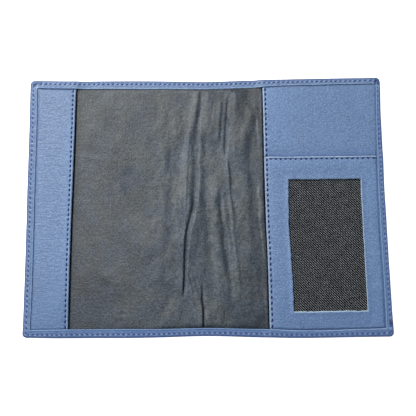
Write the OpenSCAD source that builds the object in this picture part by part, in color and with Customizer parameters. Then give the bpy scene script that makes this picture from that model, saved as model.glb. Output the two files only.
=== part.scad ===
// Folding passport cover, lying open with its inside facing up.
// X runs across the open cover, Y along its height, Z up from the table.
// The fold runs along Y at X = 0. Everything is in millimetres.

/* [Cover] */
// Width of the cover when it lies open, edge to edge
open_w = 200; // [194:1:212]
// Height of the cover
cover_h = 145; // [142:1:150]
// Radius of the outer corners
corner_r = 2.5; // [1.5:0.5:2.5]
// Thickness of the cover leather
cover_t = 0.9; // [0.8:0.1:1.2]
// Height of the fold line above the table
fold_z = 5.5; // [5.5:0.1:7]

/* [Turned edge] */
// Width of the leather turned over the inside
hem_w = 4.5; // [4:0.5:5]
// Thickness of the turned leather, pared thin
hem_t = 0.6; // [0.5:0.1:0.7]
// Thickness of the turn at the outer edge
wall_t = 0.7; // [0.6:0.1:0.7]

/* [Inner layers] */
// Thickness of the bonded fibre board in each half
board_t = 0.5; // [0.4:0.1:0.6]
// Width of soft spine on each side of the fold, with no board
soft_spine = 6; // [4:1:9]
// Thickness of the lining and of the pocket backings
cloth_t = 0.2; // [0.1:0.1:0.3]
// Free height left in each empty slip pocket
slip_gap = 0.2; // [0.1:0.1:0.3]
// Thickness of the pocket leather
pocket_t = 0.8; // [0.7:0.1:0.9]

/* [Slip pockets] */
// X of the mouth of the narrow left pocket
left_mouth_x = -74.2; // [-80:0.1:-60]
// X of the mouth of the wide right pocket
right_mouth_x = 33.3; // [28:0.1:38]

/* [Card pocket] */
// Y of the mouth of the card pocket
card_mouth_y = 26.7; // [20:0.1:34]
// How far the card pocket stands back from the right pocket's mouth
card_back = 0.6; // [0.4:0.1:1]
// Left edge of the window
window_x0 = 46.8; // [44:0.1:50]
// Right edge of the window
window_x1 = 86.8; // [84:0.1:90]
// Lower edge of the window
window_y0 = -58.8; // [-62:0.1:-55]
// Upper edge of the window
window_y1 = 13.0; // [10:0.1:16]
// How far the net reaches behind the leather round the window
net_margin = 5; // [3:0.5:6]
// Thickness of the net
net_t = 0.2; // [0.1:0.1:0.3]

/* [Stitching] */
// Distance of the stitching from the outer edge
stitch_in = 1.9; // [1.6:0.1:2.4]
// Distance of the stitching from a pocket's mouth
mouth_in = 1.4; // [1.2:0.1:2]
// Pitch of the stitches round the cover
edge_pitch = 2.7; // [2.4:0.1:3.5]
// Pitch of the stitches along the left pocket's mouth
left_mouth_pitch = 2.75; // [2.2:0.05:3.5]
// Pitch of the stitches along the right pocket's mouth
right_mouth_pitch = 2.9; // [2.2:0.05:3.5]
// Pitch of the stitches along the card pocket's mouth
card_pitch = 3.0; // [2.4:0.1:3.5]
// Length of thread that shows between two holes, as a share of the pitch
stitch_share = 0.78; // [0.6:0.02:0.85]
// Radius of the thread
thread_r = 0.2; // [0.15:0.01:0.22]

/* [Hidden] */
$fn = 48;
hw = open_w / 2;
hh = cover_h / 2;
eps = 1;
edge_gap = 0.1;
inner_x = hw - wall_t - edge_gap;
inner_y = hh - wall_t - edge_gap;

// Levels of the layers, from the table up
board_z = cover_t;
lining_z = board_z + board_t;
lining_top = lining_z + cloth_t;
backing_z = lining_top + slip_gap;
leather_z = backing_z + cloth_t;
pocket_top = leather_z + pocket_t;
net_z = pocket_top + cloth_t + slip_gap;
card_z = net_z + net_t;
card_top = card_z + pocket_t;

groove_w = 2 * thread_r + 0.3;
groove_d = 2 * thread_r + 0.05;

hide = [0.27, 0.40, 0.62];
hide_light = [0.42, 0.55, 0.76];
cloth = [0.34, 0.36, 0.37];
net = [0.13, 0.13, 0.14];
dark_cloth = [0.08, 0.08, 0.09];
board = [0.72, 0.68, 0.60];
navy = [0.10, 0.14, 0.30];
blue_thread = [0.24, 0.36, 0.58];

// Height of the top of the turned edge at a point of the rim
function rim_top(x, y) =
    (x < left_mouth_x ? pocket_top
     : x < right_mouth_x ? lining_top
     : y > card_mouth_y ? pocket_top
     : card_top) + hem_t;

// A box given by two corners
module span(x0, y0, z0, x1, y1, z1) {
    translate([x0, y0, z0]) cube([x1 - x0, y1 - y0, z1 - z0]);
}

// Outline of the right half of the cover, with its two outer corners rounded
module half_outline(r) {
    translate([0, -hh]) square([hw - r, 2 * hh]);
    translate([0, -hh + r]) square([hw, 2 * hh - 2 * r]);
    for (s = [-1, 1]) translate([hw - r, s * (hh - r)]) circle(r);
}

// Channel that the outside stitches lie in, under one half of the cover
module stitch_channel() {
    w = groove_w / 2;
    for (s = [-1, 1])
        span(-eps, s * (hh - stitch_in) - w, -eps, hw - stitch_in + w, s * (hh - stitch_in) + w, groove_d);
    span(hw - stitch_in - w, -hh + stitch_in - w, -eps, hw - stitch_in + w, hh - stitch_in + w, groove_d);
}

module cover_half(side) {
    color(hide)
    mirror([side < 0 ? 1 : 0, 0, 0])
    difference() {
        linear_extrude(cover_t) half_outline(corner_r);
        stitch_channel();
    }
}

// A length of turned edge along X: the turn at the outer edge and the flap over the inside
module hem_along_x(x0, x1, s, top) {
    y0 = s > 0 ? hh - hem_w : -hh;
    span(x0, y0, top - hem_t, x1, y0 + hem_w, top);
    w0 = s > 0 ? hh - wall_t : -hh;
    span(x0, w0, cover_t, x1, w0 + wall_t, top);
}

// A length of turned edge along Y on the side with sign s
module hem_along_y(y0, y1, s, top) {
    x0 = s > 0 ? hw - hem_w : -hw;
    span(x0, y0, top - hem_t, x0 + hem_w, y1, top);
    w0 = s > 0 ? hw - wall_t : -hw;
    span(w0, y0, cover_t, w0 + wall_t, y1, top);
}

// Keeps a hem inside the cover's rounded outline
module trim_to_cover(side) {
    intersection() {
        union() children();
        mirror([side < 0 ? 1 : 0, 0, 0])
        linear_extrude(12) half_outline(corner_r);
    }
}

module left_end_hem(s) {
    y = s * (hh - 1);
    high = rim_top(-hw + 1, y);
    low = rim_top(-1, y);
    y0 = s > 0 ? hh - hem_w : -hh;
    color(hide) trim_to_cover(-1) {
        hem_along_x(-hw, left_mouth_x, s, high);
        hem_along_x(left_mouth_x, 0, s, low);
        span(left_mouth_x, y0, low - hem_t, left_mouth_x + hem_t, y0 + hem_w, high);
        span(-hw, y0, cover_t, -hw + wall_t, y0 + hem_w, high);
    }
}

module right_end_hem(s) {
    y = s * (hh - 1);
    high = rim_top(hw - 1, y);
    low = rim_top(1, y);
    y0 = s > 0 ? hh - hem_w : -hh;
    color(hide) trim_to_cover(1) {
        hem_along_x(right_mouth_x, hw, s, high);
        hem_along_x(0, right_mouth_x, s, low);
        span(right_mouth_x - hem_t, y0, low - hem_t, right_mouth_x, y0 + hem_w, high);
        span(hw - wall_t, y0, cover_t, hw, y0 + hem_w, high);
    }
}

module left_side_hem() {
    color(hide) hem_along_y(-hh + hem_w, hh - hem_w, -1, rim_top(-hw + 1, 0));
}

module right_side_hem() {
    high = rim_top(hw - 1, 0);
    low = rim_top(hw - 1, hh - 1);
    color(hide) {
        hem_along_y(-hh + hem_w, card_mouth_y + hem_t, 1, high);
        hem_along_y(card_mouth_y + hem_t, hh - hem_w, 1, low);
        span(hw - hem_w, card_mouth_y, low - hem_t, hw, card_mouth_y + hem_t, high);
    }
}

module stiffener(side) {
    color(board) mirror([side < 0 ? 1 : 0, 0, 0])
    span(soft_spine, -inner_y + 0.6, board_z, inner_x - 0.6, inner_y - 0.6, lining_z);
}

module lining(side) {
    color(cloth) mirror([side < 0 ? 1 : 0, 0, 0])
    span(0, -inner_y, lining_z, inner_x, inner_y, lining_top);
}

module left_pocket_leather() {
    color(hide_light) span(-inner_x, -inner_y, leather_z, left_mouth_x, inner_y, pocket_top);
}

module left_pocket_backing() {
    color(cloth) span(-inner_x, -inner_y, backing_z, left_mouth_x - 0.8, inner_y, leather_z);
}

module right_pocket_leather() {
    color(hide_light) span(right_mouth_x, -inner_y, leather_z, inner_x, inner_y, pocket_top);
}

module right_pocket_backing() {
    color(cloth) span(right_mouth_x + 0.8, -inner_y, backing_z, inner_x, inner_y, leather_z);
}

module card_pocket_frame() {
    color(hide_light) difference() {
        span(right_mouth_x + card_back, -inner_y, card_z, inner_x, card_mouth_y, card_top);
        span(window_x0, window_y0, card_z - eps, window_x1, window_y1, card_top + eps);
    }
}

module card_window_net() {
    color(net) span(window_x0 - net_margin, window_y0 - net_margin, net_z,
                    window_x1 + net_margin, window_y1 + net_margin, card_z);
}

// Dark cloth on the right pocket's leather, behind the card
module card_pocket_lining() {
    color(dark_cloth) span(right_mouth_x + card_back + 1.4, -inner_y, pocket_top,
                           inner_x, card_mouth_y - 0.6, pocket_top + cloth_t);
}

// One stitch centred on a point, along X or along Y
module stitch(x, y, z, along_y, pitch) {
    l = pitch * stitch_share;
    translate([x, y, z]) rotate(along_y ? [90, 0, 0] : [0, 90, 0])
    cylinder(r = thread_r, h = l, center = true);
}

// A row of stitches from a to b, at an offset c, lying on the turned edge or at a set height
module row_x(a, b, c, pitch, z) {
    n = floor((b - a) / pitch);
    p = (b - a) / n;
    for (i = [0:n - 1]) stitch(a + p * (i + 0.5), c, z, false, p);
}

module row_y(a, b, c, pitch, z) {
    n = floor((b - a) / pitch);
    p = (b - a) / n;
    for (i = [0:n - 1]) stitch(c, a + p * (i + 0.5), z, true, p);
}

module hem_thread_left() {
    e = hw - stitch_in;
    f = hh - stitch_in;
    color(blue_thread) {
        for (s = [-1, 1]) {
            row_x(-e, left_mouth_x - 0.4, s * f, edge_pitch, rim_top(-e, 0) + thread_r);
            row_x(left_mouth_x + hem_t + 0.4, 0, s * f, edge_pitch, rim_top(-1, 0) + thread_r);
        }
        row_y(-f + 0.4, f - 0.4, -e, edge_pitch, rim_top(-e, 0) + thread_r);
    }
}

module hem_thread_right() {
    e = hw - stitch_in;
    f = hh - stitch_in;
    color(blue_thread) {
        for (s = [-1, 1]) {
            row_x(0, right_mouth_x - hem_t - 0.4, s * f, edge_pitch, rim_top(1, 0) + thread_r);
            row_x(right_mouth_x + 0.4, e, s * f, edge_pitch, rim_top(e, s * f) + thread_r);
        }
        row_y(-f + 0.4, card_mouth_y - 0.4, e, edge_pitch, rim_top(e, 0) + thread_r);
        row_y(card_mouth_y + hem_t + 0.4, f - 0.4, e, edge_pitch, rim_top(e, f) + thread_r);
    }
}

module outside_thread(side) {
    e = hw - stitch_in;
    f = hh - stitch_in;
    color(blue_thread) mirror([side < 0 ? 1 : 0, 0, 0]) {
        for (s = [-1, 1]) row_x(0, e, s * f, edge_pitch, thread_r + 0.02);
        row_y(-f + 0.4, f - 0.4, e, edge_pitch, thread_r + 0.02);
    }
}

module left_mouth_thread() {
    f = hh - hem_w - 0.3;
    color(navy) row_y(-f, f, left_mouth_x - mouth_in, left_mouth_pitch, pocket_top + thread_r);
}

module right_mouth_thread() {
    f = hh - hem_w - 0.3;
    x = right_mouth_x + mouth_in;
    color(navy) {
        row_y(-f, card_mouth_y - 0.3, x, right_mouth_pitch, card_top + thread_r);
        row_y(card_mouth_y + 0.3, f, x, right_mouth_pitch, pocket_top + thread_r);
    }
}

module card_mouth_thread() {
    color(navy) row_x(right_mouth_x + mouth_in + 0.6, hw - hem_w - 0.3, card_mouth_y - mouth_in, card_pitch,
                      card_top + thread_r);
}

cover_half(-1);  // outer_cover_left
cover_half(1);  // outer_cover_right
left_side_hem();
left_end_hem(1);  // left_top_hem
left_end_hem(-1);  // left_bottom_hem
right_side_hem();
right_end_hem(1);  // right_top_hem
right_end_hem(-1);  // right_bottom_hem
stiffener(-1);  // stiffener_left
stiffener(1);  // stiffener_right
lining(-1);  // lining_left
lining(1);  // lining_right
left_pocket_leather();
left_pocket_backing();
right_pocket_leather();
right_pocket_backing();
card_pocket_frame();
card_window_net();
card_pocket_lining();
hem_thread_left();
hem_thread_right();
outside_thread(-1);  // outside_thread_left
outside_thread(1);  // outside_thread_right
left_mouth_thread();
right_mouth_thread();
card_mouth_thread();
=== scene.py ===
import math

import bmesh
import bpy
import numpy as np
from mathutils import Matrix, Vector


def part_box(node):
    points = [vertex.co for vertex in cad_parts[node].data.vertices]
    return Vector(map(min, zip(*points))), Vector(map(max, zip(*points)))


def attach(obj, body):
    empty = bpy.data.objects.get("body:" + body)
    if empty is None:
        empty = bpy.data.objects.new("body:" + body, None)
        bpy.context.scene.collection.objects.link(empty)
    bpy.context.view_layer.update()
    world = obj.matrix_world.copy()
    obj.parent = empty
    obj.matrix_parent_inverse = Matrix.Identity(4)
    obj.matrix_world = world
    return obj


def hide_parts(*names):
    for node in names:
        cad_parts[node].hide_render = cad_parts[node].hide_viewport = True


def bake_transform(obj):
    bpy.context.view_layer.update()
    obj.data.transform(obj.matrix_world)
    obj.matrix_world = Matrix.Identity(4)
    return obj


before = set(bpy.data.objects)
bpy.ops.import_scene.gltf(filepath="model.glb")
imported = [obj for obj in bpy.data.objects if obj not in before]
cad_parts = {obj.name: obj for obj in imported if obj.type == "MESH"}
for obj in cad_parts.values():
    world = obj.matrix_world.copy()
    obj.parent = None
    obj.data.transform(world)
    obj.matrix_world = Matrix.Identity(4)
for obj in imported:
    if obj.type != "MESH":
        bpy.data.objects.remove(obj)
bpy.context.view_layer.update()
MM = 0.001


# ---------------------------------------------------------------- sizes, in mm, from the frame
def box(node):
    lo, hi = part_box(node)
    return [v * 1000 for v in lo], [v * 1000 for v in hi]


HW = box("outer_cover_right")[1][0]
HH = box("outer_cover_right")[1][1]
COVER = box("outer_cover_right")[1][2]
LIN = box("lining_left")[1][2]
LIN0 = box("lining_left")[0][2]
LM = box("left_pocket_leather")[1][0]
RM = box("right_pocket_leather")[0][0]
PK0, PK = box("right_pocket_leather")[0][2], box("right_pocket_leather")[1][2]
CX, CY = box("card_pocket_frame")[0][0], box("card_pocket_frame")[1][1]
CD0, CD = box("card_pocket_frame")[0][2], box("card_pocket_frame")[1][2]
NETB = box("card_window_net")
WX0, WX1 = NETB[0][0] + 5.0, NETB[1][0] - 5.0
WY0, WY1 = NETB[0][1] + 5.0, NETB[1][1] - 5.0
HEM = 0.6
PKH = 2.55  # the pocket leathers are pared thinner where they are sewn in, so the turned edge lies lower there
CDH = 3.4
CR = 2.5  # corner radius
ST = 2.1  # stitching from the outer edge
BEND = 6.0  # half width of the soft spine


# ---------------------------------------------------------------- small maths
def smooth(a, b, x):
    t = np.clip((np.asarray(x, float) - a) / (b - a), 0, 1)
    return t * t * (3 - 2 * t)


def vnoise(x, y, scale, seed):
    """Smooth value noise, about -1 to 1."""
    X, Y = np.broadcast_arrays(np.asarray(x, float) / scale, np.asarray(y, float) / scale)
    xi, yi = np.floor(X).astype(np.int64), np.floor(Y).astype(np.int64)
    xf, yf = X - xi, Y - yi
    u, v = xf * xf * (3 - 2 * xf), yf * yf * (3 - 2 * yf)

    def h(i, j):
        n = (i * 374761393 + j * 668265263 + seed * 97531) & 0xFFFFFFFF
        n = ((n ^ (n >> 13)) * 1274126177) & 0xFFFFFFFF
        n = n ^ (n >> 16)
        return (n & 0xFFFF) / 32767.5 - 1

    a = h(xi, yi) * (1 - u) + h(xi + 1, yi) * u
    b = h(xi, yi + 1) * (1 - u) + h(xi + 1, yi + 1) * u
    return a * (1 - v) + b * v


def fbm(x, y, scale, seed, octaves=3):
    s, a, out = scale, 1.0, 0
    for k in range(octaves):
        out = out + a * vnoise(x, y, s, seed + 17 * k)
        s, a = s * 0.5, a * 0.5
    return out


def gauss(t, w):
    return np.exp(-((t / w) ** 2))


# how far the soft holder is pulled out of true, in mm, to the right and up, over a coarse grid of places
SET_Y = (-72.5, -68, -58.8, -45, -30, -10, 10, 26.7, 50, 68, 72.5)
SET_X = (-100, -74.2, -40, -5, 33.3, 46.8, 86.8, 95.5, 100)
SET_RIGHT = (
    (0.4, 0.45, 0.5, 0.55, 0.55, 0.4, 0.1, -0.1, -0.22, -0.4, -0.4),
    (-0.8, -0.85, -0.85, -0.82, -0.8, -0.65, -0.37, -0.25, -0.02, 0.1, 0.12),
    (0, 0, 0, 0, 0, 0, 0, 0, 0, 0, 0),
    (0, 0, 0, 0, 0, 0, 0, 0, 0, 0, 0),
    (0.9, 0.9, 0.85, 0.78, 0.64, 0.12, -0.1, -0.25, -0.3, -0.33, -0.33),
    (0.4, 0.3, 0.2, -0.1, -0.7, -1.4, -1.0, -0.7, -0.4, -0.4, -0.4),
    (0.1, 0, -0.1, -0.2, -0.4, -0.65, -0.75, -0.7, -0.6, -0.5, -0.5),
    (0.87, 1.03, 1.11, 1.01, 0.83, 0.58, 0.05, -0.3, -0.13, 0.35, 0.1),
    (0.3, 0.3, 0.05, -0.1, -0.3, -0.45, -0.75, -0.7, -0.65, -0.2, -0.2),
)
SET_UP = (
    (-0.1, -0.95, -0.3, 0, 0, 0, 0, 0, 0, 0, 0.4),
    (-0.35, -0.62, -0.2, 0, 0, 0, 0, 0, 0, -0.2, 0.1),
    (-0.6, -0.85, -0.3, 0, 0, 0, 0, 0, 0, -0.06, 0.25),
    (-0.55, -0.95, -0.4, 0, 0, 0, 0, 0, 0, 0.5, 0.4),
    (-0.65, -1.0, -0.5, -0.2, 0, 0, 0, -0.6, 0, 0.05, 0.25),
    (-0.8, -1.55, -0.93, -0.5, -0.3, 0, 0.28, -0.82, 0, 0, 0),
    (-0.95, -1.5, -0.93, -0.5, -0.3, 0, 0.26, -0.8, 0, 0, -0.1),
    (-0.92, -1.3, -0.78, -0.5, -0.3, 0, 0.03, -0.73, 0, 0, -0.03),
    (-0.9, -1.2, -0.7, -0.5, -0.3, 0, 0, -0.7, 0, 0, 0),
)


def over_grid(x, y, table):
    gx, gy, t = np.array(SET_X, float), np.array(SET_Y, float), np.array(table, float)
    x, y = np.clip(x, gx[0], gx[-1]), np.clip(y, gy[0], gy[-1])
    i = np.clip(np.searchsorted(gx, x, "right") - 1, 0, len(gx) - 2)
    j = np.clip(np.searchsorted(gy, y, "right") - 1, 0, len(gy) - 2)
    u, v = (x - gx[i]) / (gx[i + 1] - gx[i]), (y - gy[j]) / (gy[j + 1] - gy[j])
    u = u + (u * u * (3 - 2 * u) - u) * 0.6
    v = v + (v * v * (3 - 2 * v) - v) * 0.6
    return (t[i, j] * (1 - u) + t[i + 1, j] * u) * (1 - v) + (t[i, j + 1] * (1 - u) + t[i + 1, j + 1] * u) * v


def settle(v):
    """The whole object's gentle set on the table: the top and bottom edges draw in at the soft spine, and nothing is quite straight or flat."""
    v = np.array(v, float)
    x, y = v[:, 0].copy(), v[:, 1].copy()
    v[:, 0] += over_grid(x, y, SET_RIGHT)
    v[:, 1] += over_grid(x, y, SET_UP)
    top = 1.5 * np.exp(-((np.abs(x) / 38) ** 1.3))
    bot = 0.75 * gauss(x, 20) - 0.4 * gauss(x - 52, 24)
    v[:, 1] -= np.sign(y) * np.where(y > 0, top, bot) * (np.abs(y) / HH) ** 2.5
    v[:, 0] += 0.16 * vnoise(y, 0 * y, 31, 5) * (np.abs(x) / HW) ** 2
    v[:, 1] += 0.14 * vnoise(x, 0 * x, 27, 9) * (np.abs(y) / HH) ** 2
    lift = 0.22 * (1 + fbm(x, y, 62, 21, 2) / 1.5) * smooth(10, 45, np.abs(x))
    v[:, 2] += lift
    return v


# ---------------------------------------------------------------- levels of the turned edge
def hem_width(x, y, side):
    """Width of the turned edge: side is l, r, t or b."""
    if side == "l":
        return 4.5 + 0.18 * vnoise(y, 0 * y, 23, 41)
    if side == "r":
        return 4.7 - 1.75 * smooth(-12, 58, y) + 0.12 * vnoise(y, 0 * y, 19, 42)
    if side == "t":
        return 4.5 + 0.55 * gauss(x + 18, 40) - 0.5 * smooth(30, 60, x) + 0.15 * vnoise(x, 0 * x, 21, 43)
    return 4.7 + 0.3 * gauss(x + 62, 22) + 0.18 * vnoise(x, 0 * x, 22, 44)


def under_hem(x, y):
    """Height of what the turned edge lies on."""
    left = LIN + (PKH - LIN) * smooth(LM + 5.0, LM - 0.6, x)
    card = PKH + (CDH - PKH) * smooth(CY + 5.0, CY - 0.6, y)
    right = LIN + (card - LIN) * smooth(RM - 5.0, RM + 0.6, x)
    return np.where(x < 0, left, right)


def laps(x, y):
    """Steps and pleats where the turned edges meet in the corners."""
    e = 0.34 * smooth(-92.5, -96.0, x) * smooth(-67.75, -68.05, y)
    e = e + 0.34 * smooth(-65.5, -68.6, y) * smooth(95.15, 95.45, x)
    for cx, cy, inner, side in ((-HW, HH, 4.5, 1), (HW, HH, 3.6, -1)):
        dx, dy = np.abs(cx - x), np.abs(cy - y)
        off = (dy - dx) / math.sqrt(2)
        near = smooth(inner + 0.9, inner - 0.3, np.maximum(dx, dy)) * smooth(0.4, 1.0, np.minimum(dx, dy))
        e = e + near * (-0.22 * gauss(off, 0.3) + 0.16 * smooth(-0.1, 0.7, off * side) * smooth(2.2, 0.9, np.abs(off)))
    return e


def hem_top(x, y):
    return under_hem(x, y) + HEM + 0.05 * fbm(x, y, 9, 61, 2) + 0.9 * laps(x, y)


# ---------------------------------------------------------------- mesh building
def new_mesh(name, verts, faces, mats=None, recalc=True, merge=None, warp=True, smooth_faces=True, attrs=None):
    """A mesh object from millimetre points, with its rest place kept as an attribute for the materials."""
    v = settle(verts) if warp else np.array(verts, float)
    me = bpy.data.meshes.new(name)
    me.from_pydata((v * MM).tolist(), [], faces)
    if mats is not None:
        me.polygons.foreach_set("material_index", np.asarray(mats, np.int32))
    for key, values in (attrs or {}).items():
        a = me.attributes.new(key, "FLOAT", "POINT")
        a.data.foreach_set("value", np.asarray(values, np.float32))
    if merge or recalc:
        bm = bmesh.new()
        bm.from_mesh(me)
        if merge:
            bmesh.ops.remove_doubles(bm, verts=bm.verts, dist=merge * MM)
            bmesh.ops.dissolve_degenerate(bm, edges=bm.edges, dist=1e-8)
        if recalc:
            bmesh.ops.recalc_face_normals(bm, faces=bm.faces)
        bm.to_mesh(me)
        bm.free()
    me.polygons.foreach_set("use_smooth", np.full(len(me.polygons), smooth_faces))
    me.update()
    ob = bpy.data.objects.new(name, me)
    bpy.context.scene.collection.objects.link(ob)
    rest(ob)
    return ob


def rest(ob):
    me = ob.data
    co = np.zeros(len(me.vertices) * 3, np.float32)
    me.vertices.foreach_get("co", co)
    a = me.attributes.get("rest") or me.attributes.new("rest", "FLOAT_VECTOR", "POINT")
    a.data.foreach_set("vector", co * 1000)


def number(ob, name, values):
    a = ob.data.attributes.get(name) or ob.data.attributes.new(name, "FLOAT", "POINT")
    a.data.foreach_set("value", np.asarray(values, np.float32))


def points(ob):
    co = np.zeros(len(ob.data.vertices) * 3, np.float32)
    ob.data.vertices.foreach_get("co", co)
    return co.reshape(-1, 3) * 1000


# ================================================================ materials
class G:
    """A short way to write node materials. P is the place at rest, in mm."""

    def __init__(self, name):
        self.m = bpy.data.materials.new(name)
        self.m.use_nodes = True
        self.t = self.m.node_tree
        self.t.nodes.clear()
        self.out = self.t.nodes.new("ShaderNodeOutputMaterial")
        self.b = self.t.nodes.new("ShaderNodeBsdfPrincipled")
        self.t.links.new(self.b.outputs[0], self.out.inputs[0])
        self.P = self.attr("rest", "Vector")

    def attr(self, name, out="Fac"):
        a = self.t.nodes.new("ShaderNodeAttribute")
        a.attribute_name = name
        return a.outputs[out]

    def put(self, s, v):
        if isinstance(v, bpy.types.NodeSocket):
            self.t.links.new(v, s)
        elif isinstance(v, (tuple, list)) and len(v) == 3 and s.type == "RGBA":
            s.default_value = (*v, 1)
        else:
            s.default_value = v

    def node(self, kind, ins, out=0, **props):
        n = self.t.nodes.new(kind)
        for k, v in props.items():
            setattr(n, k, v)
        for k, v in ins.items():
            self.put(n.inputs[k], v)
        return n.outputs[out]

    def math(self, op, a, b=0.0, c=0.0, clamp=False):
        return self.node("ShaderNodeMath", {0: a, 1: b, 2: c}, operation=op, use_clamp=clamp)

    def add(self, a, b):
        return self.math("ADD", a, b)

    def mul(self, a, b):
        return self.math("MULTIPLY", a, b)

    def scale(self, xyz, vec=None):
        return self.node("ShaderNodeVectorMath", {0: vec or self.P, 1: xyz}, operation="MULTIPLY")

    def bend(self, vec, amount, scale):
        """vec moved by noise, in mm."""
        n = self.node("ShaderNodeTexNoise", {"Vector": vec, "Scale": scale, "Detail": 1.0}, out=1)
        n = self.node("ShaderNodeVectorMath", {0: n, 1: (0.5, 0.5, 0.5)}, operation="SUBTRACT")
        n = self.node("ShaderNodeVectorMath", {0: n, 1: (amount,) * 3}, operation="MULTIPLY")
        return self.node("ShaderNodeVectorMath", {0: vec, 1: n}, operation="ADD")

    def noise(self, scale, detail=2.0, rough=0.5, vec=None):
        return self.node(
            "ShaderNodeTexNoise", {"Vector": vec or self.P, "Scale": scale, "Detail": detail, "Roughness": rough}
        )

    def vor(self, scale, feature="F1", vec=None, out="Distance"):
        return self.node("ShaderNodeTexVoronoi", {"Vector": vec or self.P, "Scale": scale}, out=out, feature=feature)

    def span(self, v, a, b, c=0.0, d=1.0, kind="SMOOTHSTEP"):
        n = self.t.nodes.new("ShaderNodeMapRange")
        n.interpolation_type = kind
        for k, x in zip(("Value", "From Min", "From Max", "To Min", "To Max"), (v, a, b, c, d), strict=True):
            self.put(n.inputs[k], x)
        return n.outputs[0]

    def mix(self, a, b, f):
        return self.node("ShaderNodeMix", {0: f, 6: a, 7: b}, out=2, data_type="RGBA")

    def tint(self, colour, f):
        """colour times a number."""
        return self.node("ShaderNodeVectorMath", {0: tuple(colour) if isinstance(colour, (tuple, list)) else colour, "Scale": f}, operation="SCALE")

    def bump(self, height, strength, distance, normal=None):
        ins = {"Height": height, "Strength": strength, "Distance": distance * MM}
        if normal is not None:
            ins["Normal"] = normal
        return self.node("ShaderNodeBump", ins)

    def finish(self, **ins):
        for k, v in ins.items():
            self.put(self.b.inputs[k.replace("_", " ")], v)
        return self.m


def rgb(r, g, b):
    """sRGB 0-255 to linear."""
    return tuple((c / 255 / 12.92) if c <= 10 else ((c / 255 + 0.055) / 1.055) ** 2.4 for c in (r, g, b))


def leather(name, colour, deep, light, painted_highlight_colour, grain=1.0, rough=0.44, painted_highlight=0.0, depth=1.0):
    """Pebble-grain leather: domed pebbles, a little wider than tall, with darker creases between them, finer pores on
    them, faint draw lines, and lighter high edges, which are painted highlight. The lift, deep and stitch attributes
    paint light and shade over it.
    """
    g = G(name)
    p = g.bend(g.scale((0.80 * grain, 1.12 * grain, 1.0)), 0.45, 0.8)
    cell = g.vor(0.86, "SMOOTH_F1", p)
    crease = g.vor(0.86, "DISTANCE_TO_EDGE", p)
    fine = g.vor(2.1 * grain, "DISTANCE_TO_EDGE", g.bend(g.P, 0.3, 2.0))
    crease_s = g.span(crease, 0.0, 0.2)
    fine_s = g.span(fine, 0.0, 0.2)
    mottle = g.noise(0.6, 4.0, 0.7)
    cloud = g.noise(0.05, 3.0, 0.55)
    pore = g.noise(2.4, 3.0, 0.7)
    draw = g.noise(1.0, 3.0, 0.6, g.scale((0.26, 0.85, 1)))
    dome = g.span(cell, 0.8, 0.1, kind="LINEAR")
    height = g.add(g.mul(crease_s, 0.26), g.add(g.mul(dome, 0.55), g.add(g.mul(fine_s, 0.12), g.mul(pore, 0.4))))
    tone = g.add(g.mul(crease_s, 0.5), g.add(g.mul(g.span(pore, 0.3, 0.7), 0.26), g.mul(fine_s, 0.24)))
    col = g.mix(deep, colour, g.math("MINIMUM", g.mul(tone, 1.7), 1.0))
    col = g.mix(col, light, g.span(tone, 0.66, 1.0, 0.0, 0.6))
    col = g.tint(col, g.span(mottle, 0.34, 0.66, 0.92, 1.08, "LINEAR"))
    col = g.tint(col, g.span(g.noise(1.5, 2.0, 0.6), 0.34, 0.66, 0.92, 1.08, "LINEAR"))
    col = g.tint(col, g.span(cloud, 0.3, 0.7, 0.96, 1.04, "LINEAR"))
    # painted light: the lift attribute makes the leather lighter where a face turns up to the light, and darker where
    # it is below 0
    col = g.tint(col, g.add(g.mul(g.attr("lift"), 0.14), 1.0))
    # painted shade: the deep attribute turns the leather a darker, bluer blue where less light falls
    col = g.mix(col, rgb(54, 88, 140), g.mul(g.attr("deep"), g.span(mottle, 0.3, 0.7, 0.75, 1.0)))
    # painted highlight: the edge attribute, broken by noise, makes the pocket lips, the leather between the hem
    # stitches, the hem's cut edge and the corner puckers paler, where they catch the light
    if painted_highlight:
        w = g.mul(g.attr("edge"), g.span(g.noise(0.9, 3.0, 0.7), 0.3, 0.6, 0.35, 1.0))
        col = g.mix(col, painted_highlight_colour, g.math("MINIMUM", g.mul(w, painted_highlight), 0.9))
    # painted shade: the stitch attribute darkens round the stitches, in the creases beside the turned edges, along the
    # outer rim and at the corner puckers; round the stitches it also stands for the leather's own darkening there
    col = g.mix(col, rgb(8, 24, 84), g.math("MINIMUM", g.mul(g.attr("stitch"), 0.75), 0.92))
    r = g.add(g.span(crease_s, 0.0, 1.0, rough + 0.16, rough, "LINEAR"), g.span(mottle, 0.3, 0.7, 0.04, -0.04, "LINEAR"))
    n = g.bump(height, 0.9 * depth, 0.15)
    n = g.bump(draw, 0.9, 0.34, n)
    n = g.bump(g.noise(0.12, 3.0, 0.5), 0.35, 0.5, n)
    return g.finish(Base_Color=col, Roughness=r, Normal=n, Specular_IOR_Level=0.5, Sheen_Weight=0.04, Sheen_Roughness=0.6)


def raw_edge(name, colour, fibre):
    """The cut edge of the leather: pale fibres in layers, with painted highlight where the edge attribute is set."""
    g = G(name)
    f = g.noise(2.0, 3.0, 0.7, g.scale((1, 1, 4)))
    col = g.mix(colour, fibre, g.span(f, 0.35, 0.65))
    # painted highlight: the edge attribute makes cut edges that face the light paler still
    col = g.mix(col, rgb(180, 200, 218), g.mul(g.attr("edge"), g.span(g.noise(0.8, 3.0, 0.7), 0.35, 0.6, 0.3, 0.9)))
    return g.finish(Base_Color=col, Roughness=0.85, Normal=g.bump(f, 0.7, 0.12), Specular_IOR_Level=0.2)


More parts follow.
